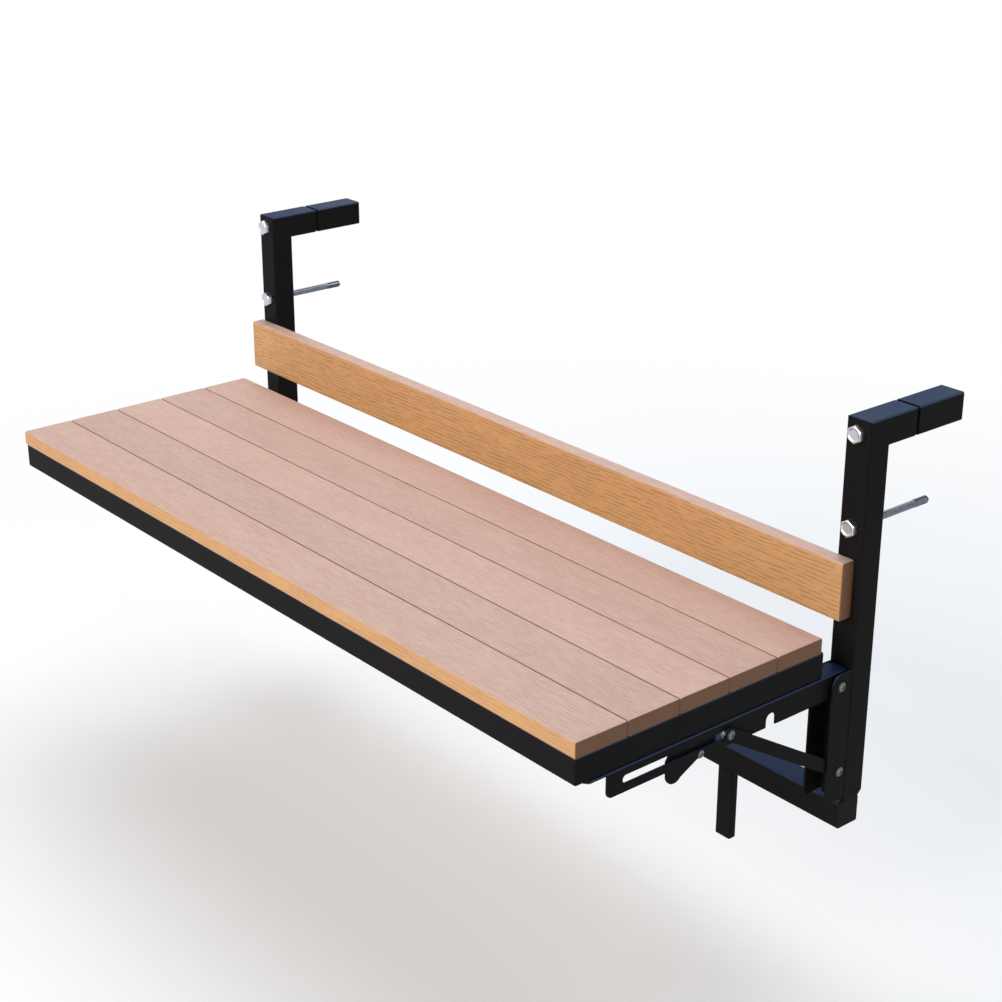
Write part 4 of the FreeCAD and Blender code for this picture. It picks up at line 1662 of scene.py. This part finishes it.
@dataclass(frozen=True)
class Lamp:
    """A soft rectangular lamp: where it hangs, what it points at, its size, power and colour."""

    name: str
    at: Spot
    to: Spot
    span: tuple[float, float]
    power: float
    colour: Colour

    def hang(self) -> None:
        """Hang the lamp in the scene."""
        deselect()
        bpy.ops.object.light_add(type="AREA", location=self.at)
        lamp = bpy.context.object
        lamp.name = self.name
        lamp.rotation_euler = (Vector(self.to) - Vector(self.at)).to_track_quat("-Z", "Y").to_euler()
        lamp.data.shape = "RECTANGLE"
        lamp.data.size, lamp.data.size_y = self.span
        lamp.data.energy = self.power
        lamp.data.color = self.colour


@dataclass
class Studio:
    """A pale floor some way under the hanging table, soft light and the photograph's camera."""

    ground: float
    clearance: float = 135.0 * MM
    eye: Spot = (1.9204, -1.6710, 0.8822)
    turn: Spot = (1.1809, -0.0018, 0.8732)
    lens: float = 71.19
    sensor: float = 36.0
    sight: tuple[float, float] = (0.01, 200.0)
    floor_span: float = 60.0
    floor_colour: Colour = (0.95, 0.95, 0.95)
    floor_shade: Colour = (0.9, 0.9, 0.9)
    grit: Cloud = Cloud(3.0, 2.0)
    grit_share: float = 0.05
    fade: tuple[float, float] = (0.8, 2.2)
    white: Colour = (1.0, 1.0, 1.0)
    sky: float = 0.45
    sky_colour: Colour = (0.90, 0.95, 1.0)
    lamps: tuple[Lamp, ...] = (
        Lamp("overhead", (-0.5, 0.6, 2.6), (0, -0.2, -0.1), (3.6, 2.6), 60.0, (0.95, 0.97, 1.0)),
        Lamp("front", (0.1, -5.1, 1.9), (0, -0.2, -0.1), (3.8, 3.0), 205.0, (1.0, 0.96, 0.92)),
        Lamp("rear_sky", (-2.6, 3.2, 1.5), (0, -0.1, -0.1), (3.2, 2.0), 16.0, (0.75, 0.86, 1.0)),
    )

    def build(self) -> None:
        """Lay the floor, hang the lamps and set the camera."""
        self.floor()
        self.world()
        for lamp in self.lamps:
            lamp.hang()
        self.camera()

    def seen(self, paint: Paint) -> Reading:
        """Tell the rays that show the background from those that light the part.

        Args:
            paint: The material or world under work.

        Returns:
            1 for a ray of the camera, a gloss or a glass, and otherwise 0.
        """
        rays = paint.node("ShaderNodeLightPath", {}, {}).outputs
        camera, glossy, clear = (
            Reading(paint, rays[kind])
            for kind in ("Is Camera Ray", "Is Glossy Ray", "Is Transmission Ray")
        )
        return camera.most(glossy).most(clear)

    def floor(self) -> None:
        """Lay a plain pale floor, clear of the folded top, that fades to white far from the part."""
        deselect()
        height = self.ground - self.clearance
        bpy.ops.mesh.primitive_plane_add(size=self.floor_span, location=(0, 0, height))
        floor = bpy.context.object
        floor.name = "studio_floor"
        paint = Paint("pale_floor")
        grit = self.grit.read(paint) * self.grit_share
        pale = paint.blend(grit, self.floor_colour, self.floor_shade)
        near = paint.node("ShaderNodeBsdfDiffuse", {}, {"Color": pale})
        far = paint.node("ShaderNodeEmission", {}, {"Color": (*self.white, 1.0), "Strength": 1.0})
        reach = paint.node("ShaderNodeVectorMath", {"operation": "LENGTH"}, {0: paint.place["Object"]})
        away = Reading(paint, reach.outputs["Value"]).ramp(*self.fade) * self.seen(paint)
        mix = paint.node("ShaderNodeMixShader", {}, {0: away, 1: near.outputs[0], 2: far.outputs[0]})
        paint.node("ShaderNodeOutputMaterial", {}, {"Surface": mix.outputs[0]})
        floor.data.materials.append(paint.material)

    def world(self) -> None:
        """Light the room evenly from a pale sky, and show it white."""
        world = bpy.data.worlds.new("studio_room")
        world.use_nodes = True
        bpy.context.scene.world = world
        room = Paint.over(world.node_tree)
        lit, shown = (
            room.node("ShaderNodeBackground", {}, {"Color": (*colour, 1.0), "Strength": strength})
            for colour, strength in ((self.sky_colour, self.sky), (self.white, 1.0))
        )
        shares = {0: self.seen(room), 1: lit.outputs[0], 2: shown.outputs[0]}
        mix = room.node("ShaderNodeMixShader", {}, shares)
        room.node("ShaderNodeOutputWorld", {}, {"Surface": mix.outputs[0]})

    def camera(self) -> None:
        """Set the camera where the photograph was taken from."""
        deselect()
        bpy.ops.object.camera_add(location=self.eye, rotation=self.turn)
        camera = bpy.context.object
        camera.data.sensor_width = self.sensor
        camera.data.lens = self.lens
        camera.data.clip_start, camera.data.clip_end = self.sight
        bpy.context.scene.camera = camera
        bpy.context.scene.view_settings.view_transform = "Standard"


def main() -> None:
    """Build every sub-assembly, then the studio around it."""
    logging.basicConfig(level=logging.INFO, format="%(message)s")
    finishes = Finishes.mix()
    for assembly in (
        SlattedTop(finishes),
        Hanger(finishes),
        FoldingGear(finishes),
        PivotFittings(finishes),
        ClampBolts(finishes),
        Studio(CAD_BOX[0].z),
    ):
        assembly.build()
        log.info("built %s", type(assembly).__name__)


if __name__ == "__main__":
    main()
